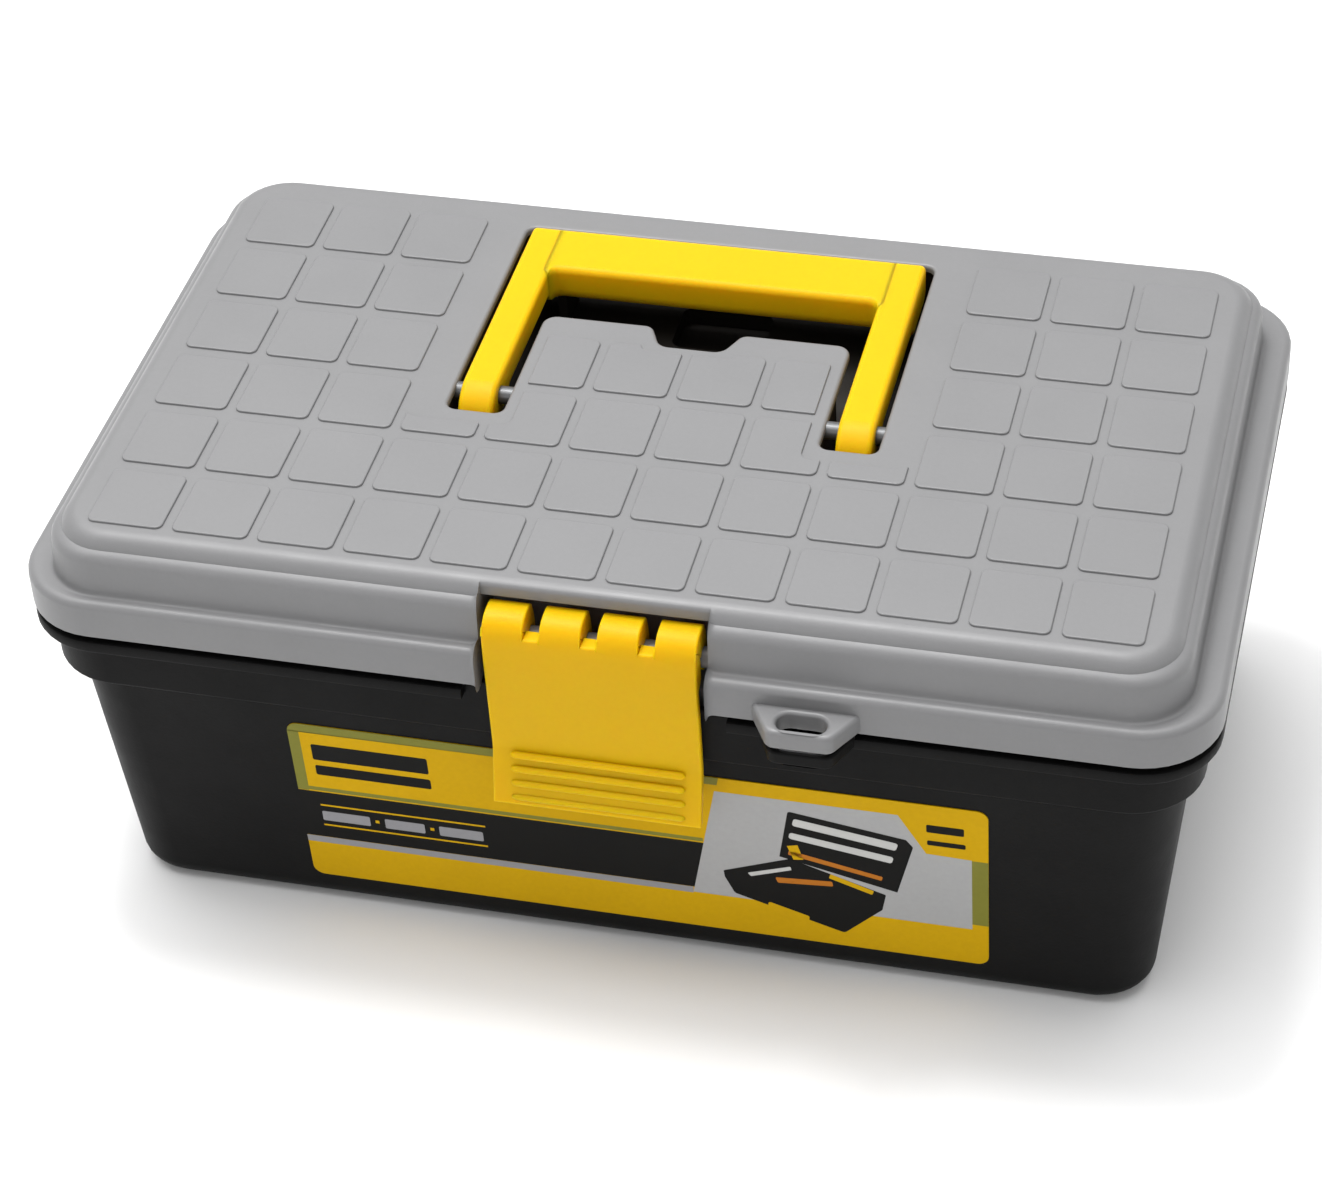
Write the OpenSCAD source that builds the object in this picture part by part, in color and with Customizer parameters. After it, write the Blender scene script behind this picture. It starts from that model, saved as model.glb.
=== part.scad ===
// Toolbox with a lift-out tray: black tub, grey hinged lid, folding carry handle
// sunk in the lid, one wide front latch and a padlock eye.
// Millimetres. X runs along the box, the front faces -Y, +Z is up, and the origin
// is the middle of the underside.

/* [Box] */
// Length of the lid rim, the longest side of the box
box_length = 400; // [380:1:440]
// Depth of the lid rim, front to back
box_depth = 240; // [240:1:260]
// Corner radius of the lid rim, seen from above
rim_corner = 27; // [24:1:32]
// How much the corner radius shrinks for each millimetre of inset
corner_shrink = 0.45; // [0.3:0.05:0.6]
// Thickness of the moulded walls
wall = 2.6; // [2:0.1:3]

/* [Tub] */
// Inset of the tub wall at the floor, from the lid rim
foot_inset = 19; // [17:0.5:21]
// Inset of the tub wall where the rim band begins
wall_inset = 10.5; // [10:0.5:12]
// Height at which the rim band begins
band_z = 102; // [98:1:104]
// Inset of the rim band
band_inset = 5; // [4.5:0.1:5.5]
// Height of the lower edge of the lip under the lid
lip_z = 120; // [118:0.5:121]
// Inset of the lip
lip_inset = 0.2; // [0.2:0.1:1]
// Height of the top of the lip
lip_top_z = 124.5; // [124:0.1:125]
// Inset of the upstand that the lid closes over
tongue_inset = 4.8; // [4.6:0.1:5]
// Height of the top of the upstand
tongue_top_z = 138.8; // [137:0.1:138.8]
// Radius of the edge round the foot of the tub
foot_radius = 8; // [6:0.5:9]
// Thickness of the floor
floor_t = 3; // [2.5:0.1:4]

/* [Lid] */
// Height of the lower edge of the lid
lid_z = 127; // [126.5:0.1:127]
// Height of the top of the rim flange
flange_top_z = 141.5; // [141.5:0.1:142]
// Radius of the upper edge of the rim flange
flange_radius = 2.6; // [1.5:0.1:3]
// Inset of the dome where it rises out of the flange
dome_inset = 5; // [5:0.1:6]
// How much further in the dome stands at the sides and the back than at the front
dome_setback = 4.8; // [4:0.1:5]
// Inset of the inner edge round the flat top
top_inset = 17; // [16:0.5:18]
// Inset of the flat top
plateau_inset = 15; // [14.5:0.1:15.5]
// Height of the crease between the flat top's edge and the shoulder round it
crease_z = 157.6; // [157:0.1:158]
// Height of the flat top
dome_top_z = 162.2; // [162:0.1:163]
// Radius of the dome's inner edge, with the wall added
dome_radius = 9; // [8:0.5:9]

/* [Tiles on the lid] */
// Number of tiles along the lid
tile_columns = 12; // [12:1:12]
// Number of tiles across the lid
tile_rows = 6; // [6:1:6]
// Distance between tile centres along the lid
tile_pitch_x = 29.31; // [29:0.01:29.5]
// Distance between tile centres across the lid
tile_pitch_y = 32.82; // [32.5:0.01:33]
// Length of a tile
tile_x = 26; // [24:0.1:26.2]
// Width of a tile
tile_y = 28.1; // [25:0.1:28.5]
// Corner radius of a tile
tile_corner = 2.5; // [1:0.1:4]
// Height of a tile above the lid
tile_rise = 0.8; // [0.4:0.1:1]
// Centre of the row of tiles nearest the back
tile_back_y = 75.9; // [75:0.1:76]

/* [Carry handle] */
// Half the length of the handle, outside to outside
handle_half = 71.7; // [71:0.1:72]
// Width of each leg
leg_w = 12.4; // [11:0.1:12.5]
// Front edge of the grip bar
bar_front_y = 61; // [60:0.5:63]
// Back edge of the grip bar
bar_back_y = 86; // [84:0.5:86.5]
// Height of the top face when folded flat
handle_top_z = 165; // [164:0.1:165.5]
// Thickness of the legs
leg_t = 11; // [10:0.5:11]
// Thickness of the grip bar
bar_t = 14.5; // [13:0.5:15]
// Position of the handle pins, front to back
handle_pin_y = -6; // [-7:0.5:-5]
// Height of the handle pins
handle_pin_z = 158; // [157.5:0.1:158]
// Radius of the handle pins
handle_pin_r = 3.2; // [2.5:0.1:3.4]

/* [Handle opening] */
// Half the length of the opening in the lid
opening_half = 74.5; // [74.2:0.1:75]
// Front end of the opening
opening_front_y = -21; // [-21.5:0.5:-20.5]
// Back end of the opening
opening_back_y = 88.5; // [88:0.5:90]
// Half the width of the tongue between the legs
tongue_half = 54.6; // [53:0.1:55]
// Back edge of the tongue
tongue_back_y = 37; // [34:0.5:38]
// Depth of the finger notch in the tongue
notch_depth = 11; // [6:0.5:12]
// Height of the floor of the well under the handle
well_floor_z = 136; // [135:0.5:137]
// Depth of the finger pit in the floor of the well
pit_depth = 7; // [4:0.5:7.5]

/* [Latch] */
// Half the length of the latch
latch_half = 35.3; // [34:0.1:36]
// Half the length of the notch in the lid
latch_notch_half = 38; // [37.5:0.1:39]
// Position of the latch rod, front to back
latch_pin_y = -109.5; // [-109.6:0.1:-109.2]
// Height of the latch rod
latch_pin_z = 142.5; // [142.3:0.1:142.6]
// Radius of the latch rod
latch_pin_r = 3.5; // [2.5:0.1:3.5]
// Height of the lower edge of the latch
latch_bottom_z = 80; // [76:1:84]
// Width of each of the gaps between its knuckles
knuckle_gap = 5.4; // [4:0.1:6]
// Number of grip ribs across its lower end
grip_ribs = 4; // [2:1:5]

/* [Padlock eye] */
// Centre of the padlock slot along the box
eye_x = 70.5; // [68:0.5:74]
// Centre of the padlock slot, front to back
eye_y = -126.5; // [-127:0.1:-126]
// Length of the padlock slot
eye_slot_l = 16.4; // [12:0.1:17]
// Width of the padlock slot
eye_slot_w = 8.4; // [6:0.1:8.5]

/* [Hinges] */
// Distance from the middle of the box to each hinge
hinge_x = 110; // [90:1:120]
// Position of the hinge axis, front to back
hinge_y = 125.5; // [125:0.1:126.5]
// Height of the hinge axis
hinge_z = 124; // [123.5:0.1:124]
// Radius of the hinge knuckles
knuckle_r = 4.6; // [4.2:0.1:4.8]
// Radius of the hinge pins
hinge_pin_r = 2; // [1.5:0.1:2.4]
// Length of the lid knuckle of each hinge
lid_knuckle_l = 16; // [12:0.5:20]
// Length of each tub knuckle
tub_knuckle_l = 10; // [8:0.5:14]

/* [Tray] */
// Height of the underside of the tray
tray_bottom_z = 62; // [56:1:70]
// Thickness of the tray walls
tray_wall = 1.8; // [1.6:0.1:2.4]
// Width of the spine along the middle of the tray
spine_w = 14; // [12:1:18]
// Height of the top of the tray grip
grip_top_z = 114; // [110:0.5:115]
// Half the length of the tray grip
grip_half = 62; // [50:1:66]

/* [Label] */
// Left edge of the label
label_left = -111.5; // [-120:0.5:-100]
// Right edge of the label
label_right = 127.5; // [120:0.5:135]
// Lower edge of the label, measured up the wall
label_low = 13.4; // [12:0.1:20]
// Upper edge of the label, measured up the wall
label_high = 90; // [80:0.5:90]

/* [Hidden] */

$fn = 48;
// Facets round a circle inside a hull
hull_fn = 32;
// Thickness of the slices that a hull joins
film = 0.02;
// Radial clearance of a pin in its bore
fit_gap = 0.05;
// Extra length that makes a cut run clear through
over = 1;

half_x = box_length / 2;
half_y = box_depth / 2;
// Inset of the inner face of the rim band, and width of the ledge inside it
band_inner = band_inset + wall;
ledge_z = band_z + wall;
// Top of the lid's inside, and underside of the lid's flange
lid_inner_z = dome_top_z - wall;
flange_inner_z = tongue_top_z + 0.3;
wall_draft = atan((foot_inset - wall_inset) / band_z);
// Shoulder of the dome and the edge of its flat top
shoulder_inset = 10;
shoulder_radius = 4.2;
roll_start = 25;
crease_inset = 9.2;
roll_width = (plateau_inset - crease_inset) / cos(roll_start);
roll_height = (dome_top_z - crease_z) / (1 - sin(roll_start));
// Well under the handle
well_half = opening_half + 1;
well_wall = 2.5;
well_front_y = opening_front_y - 2;
well_back_y = opening_back_y + 1;
well_under_z = well_floor_z - 2.4;
well_rib_x = tongue_half - 3.1;
// Outer end of each handle pin
handle_pin_end = well_half + well_wall + 0.2;
screw_x = well_half + 11;
screw_r = 1.5;
screw_rows = [-14, 34, 80];
// Latch
latch_front_y = -half_y - 0.5;
latch_t = 3;
latch_knuckles = 4;
latch_top_z = latch_pin_z + 12.5;
latch_swing = 13.3;
pocket_y = latch_pin_y + latch_swing;
pocket_top_z = latch_pin_z + latch_swing;
notch_wall_y = -108.5;
latch_block_half = latch_notch_half + 5;
latch_hook_z = 97;
latch_clear_half = latch_block_half + 1.2;
// Tray
tray_rim_inset = band_inner + 0.8;
tray_tub_inset = wall_inset + wall + 2.2;
tray_draft = 2.4;
tray_floor_z = tray_bottom_z + 2;
tray_rim_z = ledge_z + 0.2;
tray_top_z = tray_rim_z + 2.2;

function unit(v) = v / norm(v);

// Arc that rounds the corner p1 between p0 and p2 with radius r
function corner_arc(p0, p1, p2, r, n) =
    let (u = unit(p0 - p1), v = unit(p2 - p1))
    let (half = acos(u * v) / 2)
    let (c = p1 + unit(u + v) * r / sin(half))
    let (from = p1 + u * r / tan(half) - c, to = p1 + v * r / tan(half) - c)
    let (a0 = atan2(from[1], from[0]), a1 = atan2(to[1], to[0]))
    let (sweep = (a1 - a0 + 540) % 360 - 180)
    [for (i = [0:n]) c + r * [cos(a0 + sweep * i / n), sin(a0 + sweep * i / n)]];

// Outline whose corners are [x, y, radius], with every corner that has a radius rounded
function rounded(corners, n = 6) =
    let (m = len(corners))
    let (p = [for (c = corners) [c[0], c[1]]])
    [for (i = [0:m - 1])
        each corners[i][2] > 0
            ? corner_arc(p[(i + m - 1) % m], p[i], p[(i + 1) % m], corners[i][2], n)
            : [p[i]]];

function corner_radius(inset) = rim_corner - corner_shrink * inset;
function tub_inset(z) = foot_inset - (foot_inset - wall_inset) * z / band_z;

// Rectangle with round corners, from its half sizes
module round_rect(hx, hy, r) {
    square([2 * hx, 2 * (hy - r)], center = true);
    square([2 * (hx - r), 2 * hy], center = true);
    for (sx = [-1, 1], sy = [-1, 1])
        translate([sx * (hx - r), sy * (hy - r)]) circle(r);
}

// Level slab of the box's outline, pulled in by inset
module slab(inset, z0, z1) {
    translate([0, 0, z0])
        linear_extrude(z1 - z0)
            round_rect(half_x - inset, half_y - inset, corner_radius(inset));
}

// Smooth shell through a list of [inset, height] slices
module loft(levels) {
    hull()
        for (level = levels) slab(level[0], level[1], level[1] + film, $fn = hull_fn);
}

// The same with the dome's tighter corners, set back at the sides and the back
module dome_loft(levels) {
    hull()
        for (level = levels)
            translate([0, -dome_setback / 2, level[1]])
                linear_extrude(film)
                    round_rect(half_x - dome_setback - level[0], half_y - dome_setback / 2 - level[0],
                               corner_radius(level[0]) - dome_setback, $fn = hull_fn);
}

// Solid along X with the given outline in Y and Z
module along_x(x0, x1, outline) {
    translate([x0, 0, 0])
        rotate([90, 0, 90])
            linear_extrude(x1 - x0) polygon(outline);
}

// Rod along X
module rod(x0, x1, y, z, r) {
    translate([x0, y, z]) rotate([0, 90, 0]) cylinder(h = x1 - x0, r = r);
}

// Plain block between two corners
module block(low, high) {
    translate(low) cube(high - low);
}

module both_sides() {
    children();
    mirror([1, 0, 0]) children();
}

// ---------------------------------------------------------------- tub

// Padlock lug seen from above: wide at the rim, narrow at its nose
module eye_plate(root_half, nose_half, z0, z1, nose_y) {
    outline = rounded([[eye_x - root_half, -half_y + 6, 0], [eye_x - root_half, -half_y + 0.5, 0],
                       [eye_x - nose_half, nose_y, 4], [eye_x + nose_half, nose_y, 4],
                       [eye_x + root_half, -half_y + 0.5, 0], [eye_x + root_half, -half_y + 6, 0]]);
    translate([0, 0, z0]) linear_extrude(z1 - z0) polygon(outline);
}

module eye_slot(z0, z1) {
    straight = (eye_slot_l - eye_slot_w) / 2;
    translate([eye_x, eye_y, z0])
        linear_extrude(z1 - z0) {
            square([2 * straight, eye_slot_w], center = true);
            for (s = [-1, 1]) translate([s * straight, 0]) circle(eye_slot_w / 2);
        }
}

module tub_knuckles() {
    inner = lid_knuckle_l / 2 + 0.4;
    gusset = [[half_y - band_inset - 1.5, hinge_z - 17], [half_y - band_inset - 1.5, hinge_z],
              [hinge_y, hinge_z + 0.5], [hinge_y + knuckle_r - 0.1, hinge_z - 0.8],
              [hinge_y + 1.5, hinge_z - knuckle_r]];
    for (s = [-1, 1])
        translate([s * (inner + tub_knuckle_l / 2), 0, 0]) {
            rod(-tub_knuckle_l / 2, tub_knuckle_l / 2, hinge_y, hinge_z, knuckle_r);
            along_x(-tub_knuckle_l / 2, tub_knuckle_l / 2, gusset);
        }
}

module body_shell() {
    foot = [for (a = [0:22.5:90])
        let (z = foot_radius * (1 - cos(a)))
        [tub_inset(z) + foot_radius * (1 - sin(a)), z]];
    inner_radius = foot_radius - wall;
    inside = [for (a = [0:30:90])
        let (z = floor_t + inner_radius * (1 - cos(a)))
        [tub_inset(z) + wall + inner_radius * (1 - sin(a)), z]];
    color([0.10, 0.10, 0.10])
        difference() {
            union() {
                loft(concat(foot, [[wall_inset, band_z]]));
                slab(band_inset, band_z, lip_top_z);
                slab(tongue_inset, lip_z, tongue_top_z);
                for (s = [-1, 1]) translate([s * hinge_x, 0, 0]) tub_knuckles();
            }
            loft(concat(inside, [[wall_inset + wall, ledge_z + 0.2]]));
            slab(band_inner, ledge_z, tongue_top_z + over);
            // Room for the latch and the notch wall of the lid
            block([-latch_clear_half, -half_y - over, lip_top_z],
                  [latch_clear_half, -half_y + 12, tongue_top_z + over]);
            block([-latch_clear_half, -half_y - over, lip_z],
                  [latch_clear_half, -half_y + band_inset, lip_top_z + over]);
            for (s = [-1, 1])
                rod(s * hinge_x - 20, s * hinge_x + 20, hinge_y, hinge_z, hinge_pin_r + fit_gap);
            // Shallow panels in the underside
            for (s = [-1, 1])
                block([s * 85 - 65, -66, -over], [s * 85 + 65, 66, 1]);
        }
}

// Lip under the lid, moulded with the tub
module rim_lip() {
    color([0.10, 0.10, 0.10])
        difference() {
            slab(lip_inset, lip_z, lip_top_z);
            slab(tongue_inset, lip_z - over, lip_top_z + over);
            // Room for the latch
            block([-latch_clear_half, -half_y - over, lip_z - over],
                  [latch_clear_half, -half_y + band_inset + over, lip_top_z + over]);
            for (s = [-1, 1]) translate([s * hinge_x, 0, 0]) tub_knuckles();
        }
}

// Tub half of the padlock eye
module padlock_lug() {
    color([0.10, 0.10, 0.10])
        difference() {
            eye_plate(15.5, 10, lip_z + 0.6, lip_top_z + 1.2, -half_y - 11.6);
            slab(lip_inset, lip_z, lip_top_z);
            slab(tongue_inset, lip_z, tongue_top_z);
            eye_slot(lip_z - over, lip_top_z + 4);
        }
}

module hinge_pin(side) {
    reach = lid_knuckle_l / 2 + 0.4 + tub_knuckle_l;
    color([0.55, 0.56, 0.57]) {
        rod(side * hinge_x - reach, side * hinge_x + reach, hinge_y, hinge_z, hinge_pin_r);
        rod(side * hinge_x + side * (reach + 0.6) - 0.6, side * hinge_x + side * (reach + 0.6) + 0.6,
            hinge_y, hinge_z, hinge_pin_r + 1.2);
    }
}

module hinge_pin_left() {
    hinge_pin(-1);
}

module hinge_pin_right() {
    hinge_pin(1);
}

module front_label() {
    width = label_right - label_left;
    height = label_high - label_low;
    color([0.80, 0.64, 0.08])
        translate([(label_left + label_right) / 2, -half_y + foot_inset, 0])
            rotate([90 + wall_draft, 0, 0])
                translate([0, (label_low + label_high) / 2, 0.02])
                    linear_extrude(0.4) round_rect(width / 2, height / 2, 4);
}

// ---------------------------------------------------------------- lid

// Corners of the tongue between the handle legs, pulled in by margin
function tongue_outline(margin) =
    let (x = tongue_half - margin, y = tongue_back_y - margin, deep = tongue_back_y - notch_depth - margin)
    [[-x, opening_front_y - 20, 0], [x, opening_front_y - 20, 0], [x, y, 5],
     [16 + margin, y, 4], [11 + margin, deep, 5], [-11 - margin, deep, 5],
     [-16 - margin, y, 4], [-x, y, 5]];

module opening_outline() {
    difference() {
        translate([0, (opening_front_y + opening_back_y) / 2])
            round_rect(opening_half, (opening_back_y - opening_front_y) / 2, 3.5);
        polygon(rounded(tongue_outline(0)));
    }
}

// Part of the lid top that stays free of tiles, round the handle
module tile_clearing() {
    difference() {
        translate([0, 33]) round_rect(88, 61.5, 6);
        polygon(rounded(tongue_outline(4.6)));
    }
    // The back end of the tongue, behind its last row of tiles
    translate([-tongue_half, tongue_back_y - notch_depth]) square([2 * tongue_half, notch_depth]);
}

module tiles() {
    translate([0, 0, dome_top_z - 0.4])
        linear_extrude(tile_rise + 0.4)
            difference() {
                for (column = [0:tile_columns - 1], row = [0:tile_rows - 1])
                    translate([(column - (tile_columns - 1) / 2) * tile_pitch_x,
                               tile_back_y - row * tile_pitch_y])
                        round_rect(tile_x / 2, tile_y / 2, tile_corner);
                tile_clearing();
            }
}

// Outline in Y and Z of the pocket that the latch turns in
pocket_outline = [[-half_y - 8, lid_z - over], [-half_y - 8, dome_top_z + 5],
                  [notch_wall_y, dome_top_z + 5], [notch_wall_y, pocket_top_z],
                  [pocket_y, pocket_top_z], [pocket_y, latch_pin_z - 7],
                  [notch_wall_y, lid_z + 1], [notch_wall_y, lid_z - over]];

// The same, grown by the wall that closes the pocket off from the inside
pocket_shell_outline = [[-half_y - 8, lid_z], [-half_y - 8, lid_inner_z + over],
                        [pocket_y + wall, lid_inner_z + over], [pocket_y + wall, latch_pin_z - 8],
                        [notch_wall_y + wall, lid_z + 0.6], [notch_wall_y + wall, lid_z]];

module lid_knuckle() {
    web = [[half_y - 2, lid_z], [half_y - 2, flange_top_z - 5], [half_y - 0.2, flange_top_z - 5],
           [hinge_y + knuckle_r - 0.1, hinge_z + 0.8], [hinge_y, hinge_z], [hinge_y - 3.2, hinge_z + 2.2]];
    rod(-lid_knuckle_l / 2, lid_knuckle_l / 2, hinge_y, hinge_z, knuckle_r);
    along_x(-lid_knuckle_l / 2, lid_knuckle_l / 2, web);
}

module lid_shell() {
    flange_edge = [for (a = [0:22.5:90])
        [flange_radius * (1 - cos(a)), flange_top_z - flange_radius * (1 - sin(a)) - film]];
    // Shoulder of the dome, an arc from its side up to the crease
    shoulder_edge = [for (a = [0:45:90])
        [shoulder_inset - shoulder_radius * cos(a), crease_z - shoulder_radius * (1 - sin(a)) - film]];
    // Edge that rises from the crease to the flat top
    plateau_edge = [for (a = [roll_start, 50, 90])
        [plateau_inset - roll_width * cos(a), dome_top_z - roll_height * (1 - sin(a)) - film]];
    dome_inner_r = dome_radius - wall;
    inner_edge = [for (a = [0:30:90])
        [top_inset - dome_inner_r * cos(a), lid_inner_z - dome_inner_r * (1 - sin(a)) - film]];
    color([0.60, 0.60, 0.60])
        difference() {
            union() {
                loft(concat([[0, lid_z]], flange_edge));
                dome_loft(concat([[dome_inset, flange_top_z - 0.5]], shoulder_edge));
                dome_loft(concat([[plateau_edge[0][0], crease_z - 1]], plateau_edge));
                tiles();
                eye_plate(17.9, 10.4, lid_z + 0.5, lid_z + 8, -half_y - 12.5);
                for (s = [-1, 1]) translate([s * hinge_x, 0, 0]) lid_knuckle();
                // Skirt that closes the slit behind the latch
                block([-latch_block_half, notch_wall_y, lip_z],
                      [latch_block_half, notch_wall_y + wall, lid_z + 2]);
            }
            difference() {
                union() {
                    slab(wall, lid_z - over, flange_inner_z);
                    dome_loft(concat([[dome_inset + wall - 0.2, lid_z - over]], inner_edge));
                }
                along_x(-latch_block_half, latch_block_half, pocket_shell_outline);
                block([-latch_block_half, notch_wall_y, lip_z],
                      [latch_block_half, notch_wall_y + wall, lid_z + 2]);
                for (sx = [-1, 1], y = screw_rows)
                    translate([sx * screw_x, y, well_floor_z])
                        cylinder(h = lid_inner_z + over - well_floor_z, r = 4);
            }
            along_x(-latch_notch_half, latch_notch_half, pocket_outline);
            rod(-latch_block_half - over, latch_block_half + over, latch_pin_y, latch_pin_z,
                latch_pin_r + fit_gap);
            translate([0, 0, lid_inner_z - over]) linear_extrude(10) opening_outline();
            eye_slot(lid_z - over, lid_z + 12);
            for (s = [-1, 1])
                rod(s * hinge_x - 20, s * hinge_x + 20, hinge_y, hinge_z, hinge_pin_r + fit_gap);
            // Grooves under the lid top over the handle pins
            for (s = [-1, 1])
                rod(s * 65 - 15, s * 65 + 15, handle_pin_y, handle_pin_z, handle_pin_r + fit_gap);
            for (sx = [-1, 1], y = screw_rows)
                translate([sx * screw_x, y, well_floor_z - over])
                    cylinder(h = 12 + over, r = screw_r + fit_gap);
        }
}

module handle_well() {
    mid_y = (well_front_y + well_back_y) / 2;
    long_y = (well_back_y - well_front_y) / 2;
    color([0.09, 0.09, 0.09])
        difference() {
            union() {
                translate([0, mid_y, well_under_z])
                    linear_extrude(lid_inner_z - well_under_z)
                        round_rect(well_half + well_wall, long_y + well_wall, 5);
                // Ears that the screws go through
                for (sx = [-1, 1], y = screw_rows)
                    translate([sx * screw_x, y, well_under_z])
                        cylinder(h = well_floor_z - well_under_z, r = 5);
                for (sx = [-1, 1], y = screw_rows)
                    block([sx * screw_x - (sx + 1) / 2 * 9, y - 5, well_under_z],
                          [sx * screw_x + (1 - sx) / 2 * 9, y + 5, well_floor_z]);
                translate([0, 73, well_under_z - pit_depth])
                    linear_extrude(pit_depth + over) round_rect(19, 14.5, 6);
            }
            difference() {
                translate([0, mid_y, well_floor_z])
                    linear_extrude(40) round_rect(well_half, long_y, 3);
                // Ribs that carry the inner ends of the handle pins
                for (s = [-1, 1])
                    block([s * (well_rib_x + 1.25) - 1.25, well_front_y - over, well_floor_z - over],
                          [s * (well_rib_x + 1.25) + 1.25, 12, lid_inner_z]);
                // Rests under the ends of the grip bar
                for (s = [-1, 1])
                    block([s * 57 - 1.5, 66, well_floor_z - over],
                          [s * 57 + 1.5, 82, handle_top_z - bar_t - 0.4]);
            }
            translate([0, 73, well_floor_z - pit_depth])
                linear_extrude(pit_depth + over) round_rect(16.6, 12.1, 4);
            for (s = [-1, 1])
                rod(s * 65 - 20, s * 65 + 20, handle_pin_y, handle_pin_z, handle_pin_r + fit_gap);
            for (sx = [-1, 1], y = screw_rows)
                translate([sx * screw_x, y, well_under_z - over])
                    cylinder(h = 10, r = screw_r + 0.3);
        }
}

module well_screws() {
    color([0.60, 0.61, 0.62])
        for (sx = [-1, 1], y = screw_rows)
            translate([sx * screw_x, y, well_under_z]) {
                difference() {
                    translate([0, 0, -1.9]) cylinder(h = 1.9, r1 = 2.4, r2 = 3.2);
                    for (turn = [0, 90])
                        rotate([0, 0, turn])
                            block([-1.8, -0.4, -2.4], [1.8, 0.4, -1]);
                }
                cylinder(h = 12, r = screw_r);
            }
}

// ---------------------------------------------------------------- latch

module latch_rod() {
    color([0.52, 0.52, 0.52])
        rod(-latch_block_half - 0.5, latch_block_half + 0.5, latch_pin_y, latch_pin_z, latch_pin_r);
}

module front_latch() {
    front = latch_front_y;
    // Head round the rod, and face plate: upright at the top, drawn in to the hook, flared at the end
    head = rounded([[front, latch_pin_z - 7, 0], [front, latch_top_z, 8.5],
                    [latch_pin_y + 2, latch_top_z, 3.5], [latch_pin_y + 5.5, latch_pin_z, 3],
                    [latch_pin_y, latch_pin_z - 6, 2], [front + latch_t, latch_pin_z - 7, 0]]);
    plate = rounded([[front, latch_pin_z, 0], [front, latch_pin_z - 8, 6],
                     [front + 1.2, 101, 6], [front - 3.2, latch_bottom_z, 1.4],
                     [front - 0.2, latch_bottom_z, 1.4], [front + latch_t + 1.1, 99, 4],
                     [front + latch_t + 0.2, latch_pin_z - 8, 2], [front + latch_t + 1, latch_pin_z, 0]]);
    hook = rounded([[front + 2.2, latch_hook_z - 4, 0], [-half_y + band_inset - 0.4, latch_hook_z, 0.8],
                    [-half_y + band_inset - 0.4, latch_hook_z + 4, 0.8], [front + 2.2, latch_hook_z + 7, 0]],
                   3);
    pitch = (2 * latch_half + knuckle_gap) / latch_knuckles;
    color([0.93, 0.73, 0.05])
        difference() {
            union() {
                rod(-latch_half, latch_half, latch_pin_y, latch_pin_z, 6.2);
                along_x(-latch_half, latch_half, head);
                along_x(-latch_half, latch_half, plate);
                along_x(-latch_half + 3, latch_half - 3, hook);
                for (i = [0:grip_ribs - 1])
                    rod(-29, 30, front - 0.2 - 0.78 * i, 99.5 - 5.5 * i, 1.25);
            }
            rod(-latch_half - over, latch_half + over, latch_pin_y, latch_pin_z, latch_pin_r + fit_gap);
            for (i = [1:latch_knuckles - 1]) {
                x = -latch_half + i * pitch - knuckle_gap;
                block([x, front - over, latch_top_z - 5.4], [x + knuckle_gap, front + 22, latch_top_z + over]);
                block([x, front + 6, latch_pin_z - 2], [x + knuckle_gap, front + 22, latch_top_z + over]);
            }
        }
}

// ---------------------------------------------------------------- handle

module carry_handle() {
    top = handle_top_z;
    nose_r = 13.5;
    nose_y = handle_pin_y;
    inner = handle_half - leg_w;
    leg = concat([[bar_front_y + 3, top - leg_t], [bar_front_y + 3, top]],
                 [for (a = [90:15:180]) [nose_y + nose_r * cos(a), top - nose_r + nose_r * sin(a)]],
                 [[nose_y - nose_r + 1, top - 15], [nose_y + 5, top - 15], [nose_y + 12, top - leg_t]]);
    bar = rounded([[bar_front_y, top, 2.5], [bar_back_y, top, 2.5],
                   [bar_back_y, top - bar_t, 5.5], [bar_front_y, top - bar_t, 5.5]], 8);
    color([0.97, 0.84, 0.12])
        difference() {
            union() {
                both_sides() along_x(inner, handle_half, leg);
                along_x(-handle_half, handle_half, bar);
            }
            rod(-handle_half - over, handle_half + over, handle_pin_y, handle_pin_z,
                handle_pin_r + fit_gap);
        }
}

module handle_pin(side) {
    inner_end = well_rib_x - 0.2;
    middle = side * (inner_end + handle_pin_end) / 2;
    reach = (handle_pin_end - inner_end) / 2;
    color([0.42, 0.43, 0.44])
        rod(middle - reach, middle + reach, handle_pin_y, handle_pin_z, handle_pin_r);
}

module handle_pin_left() {
    handle_pin(-1);
}

module handle_pin_right() {
    handle_pin(1);
}

// ---------------------------------------------------------------- tray

// One compartment: a straight-walled hollow with round corners
module compartment(x0, x1, y0, y1) {
    translate([(x0 + x1) / 2, (y0 + y1) / 2, tray_floor_z])
        linear_extrude(tray_top_z - tray_floor_z + over)
            round_rect((x1 - x0) / 2, (y1 - y0) / 2, 7);
}

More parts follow.
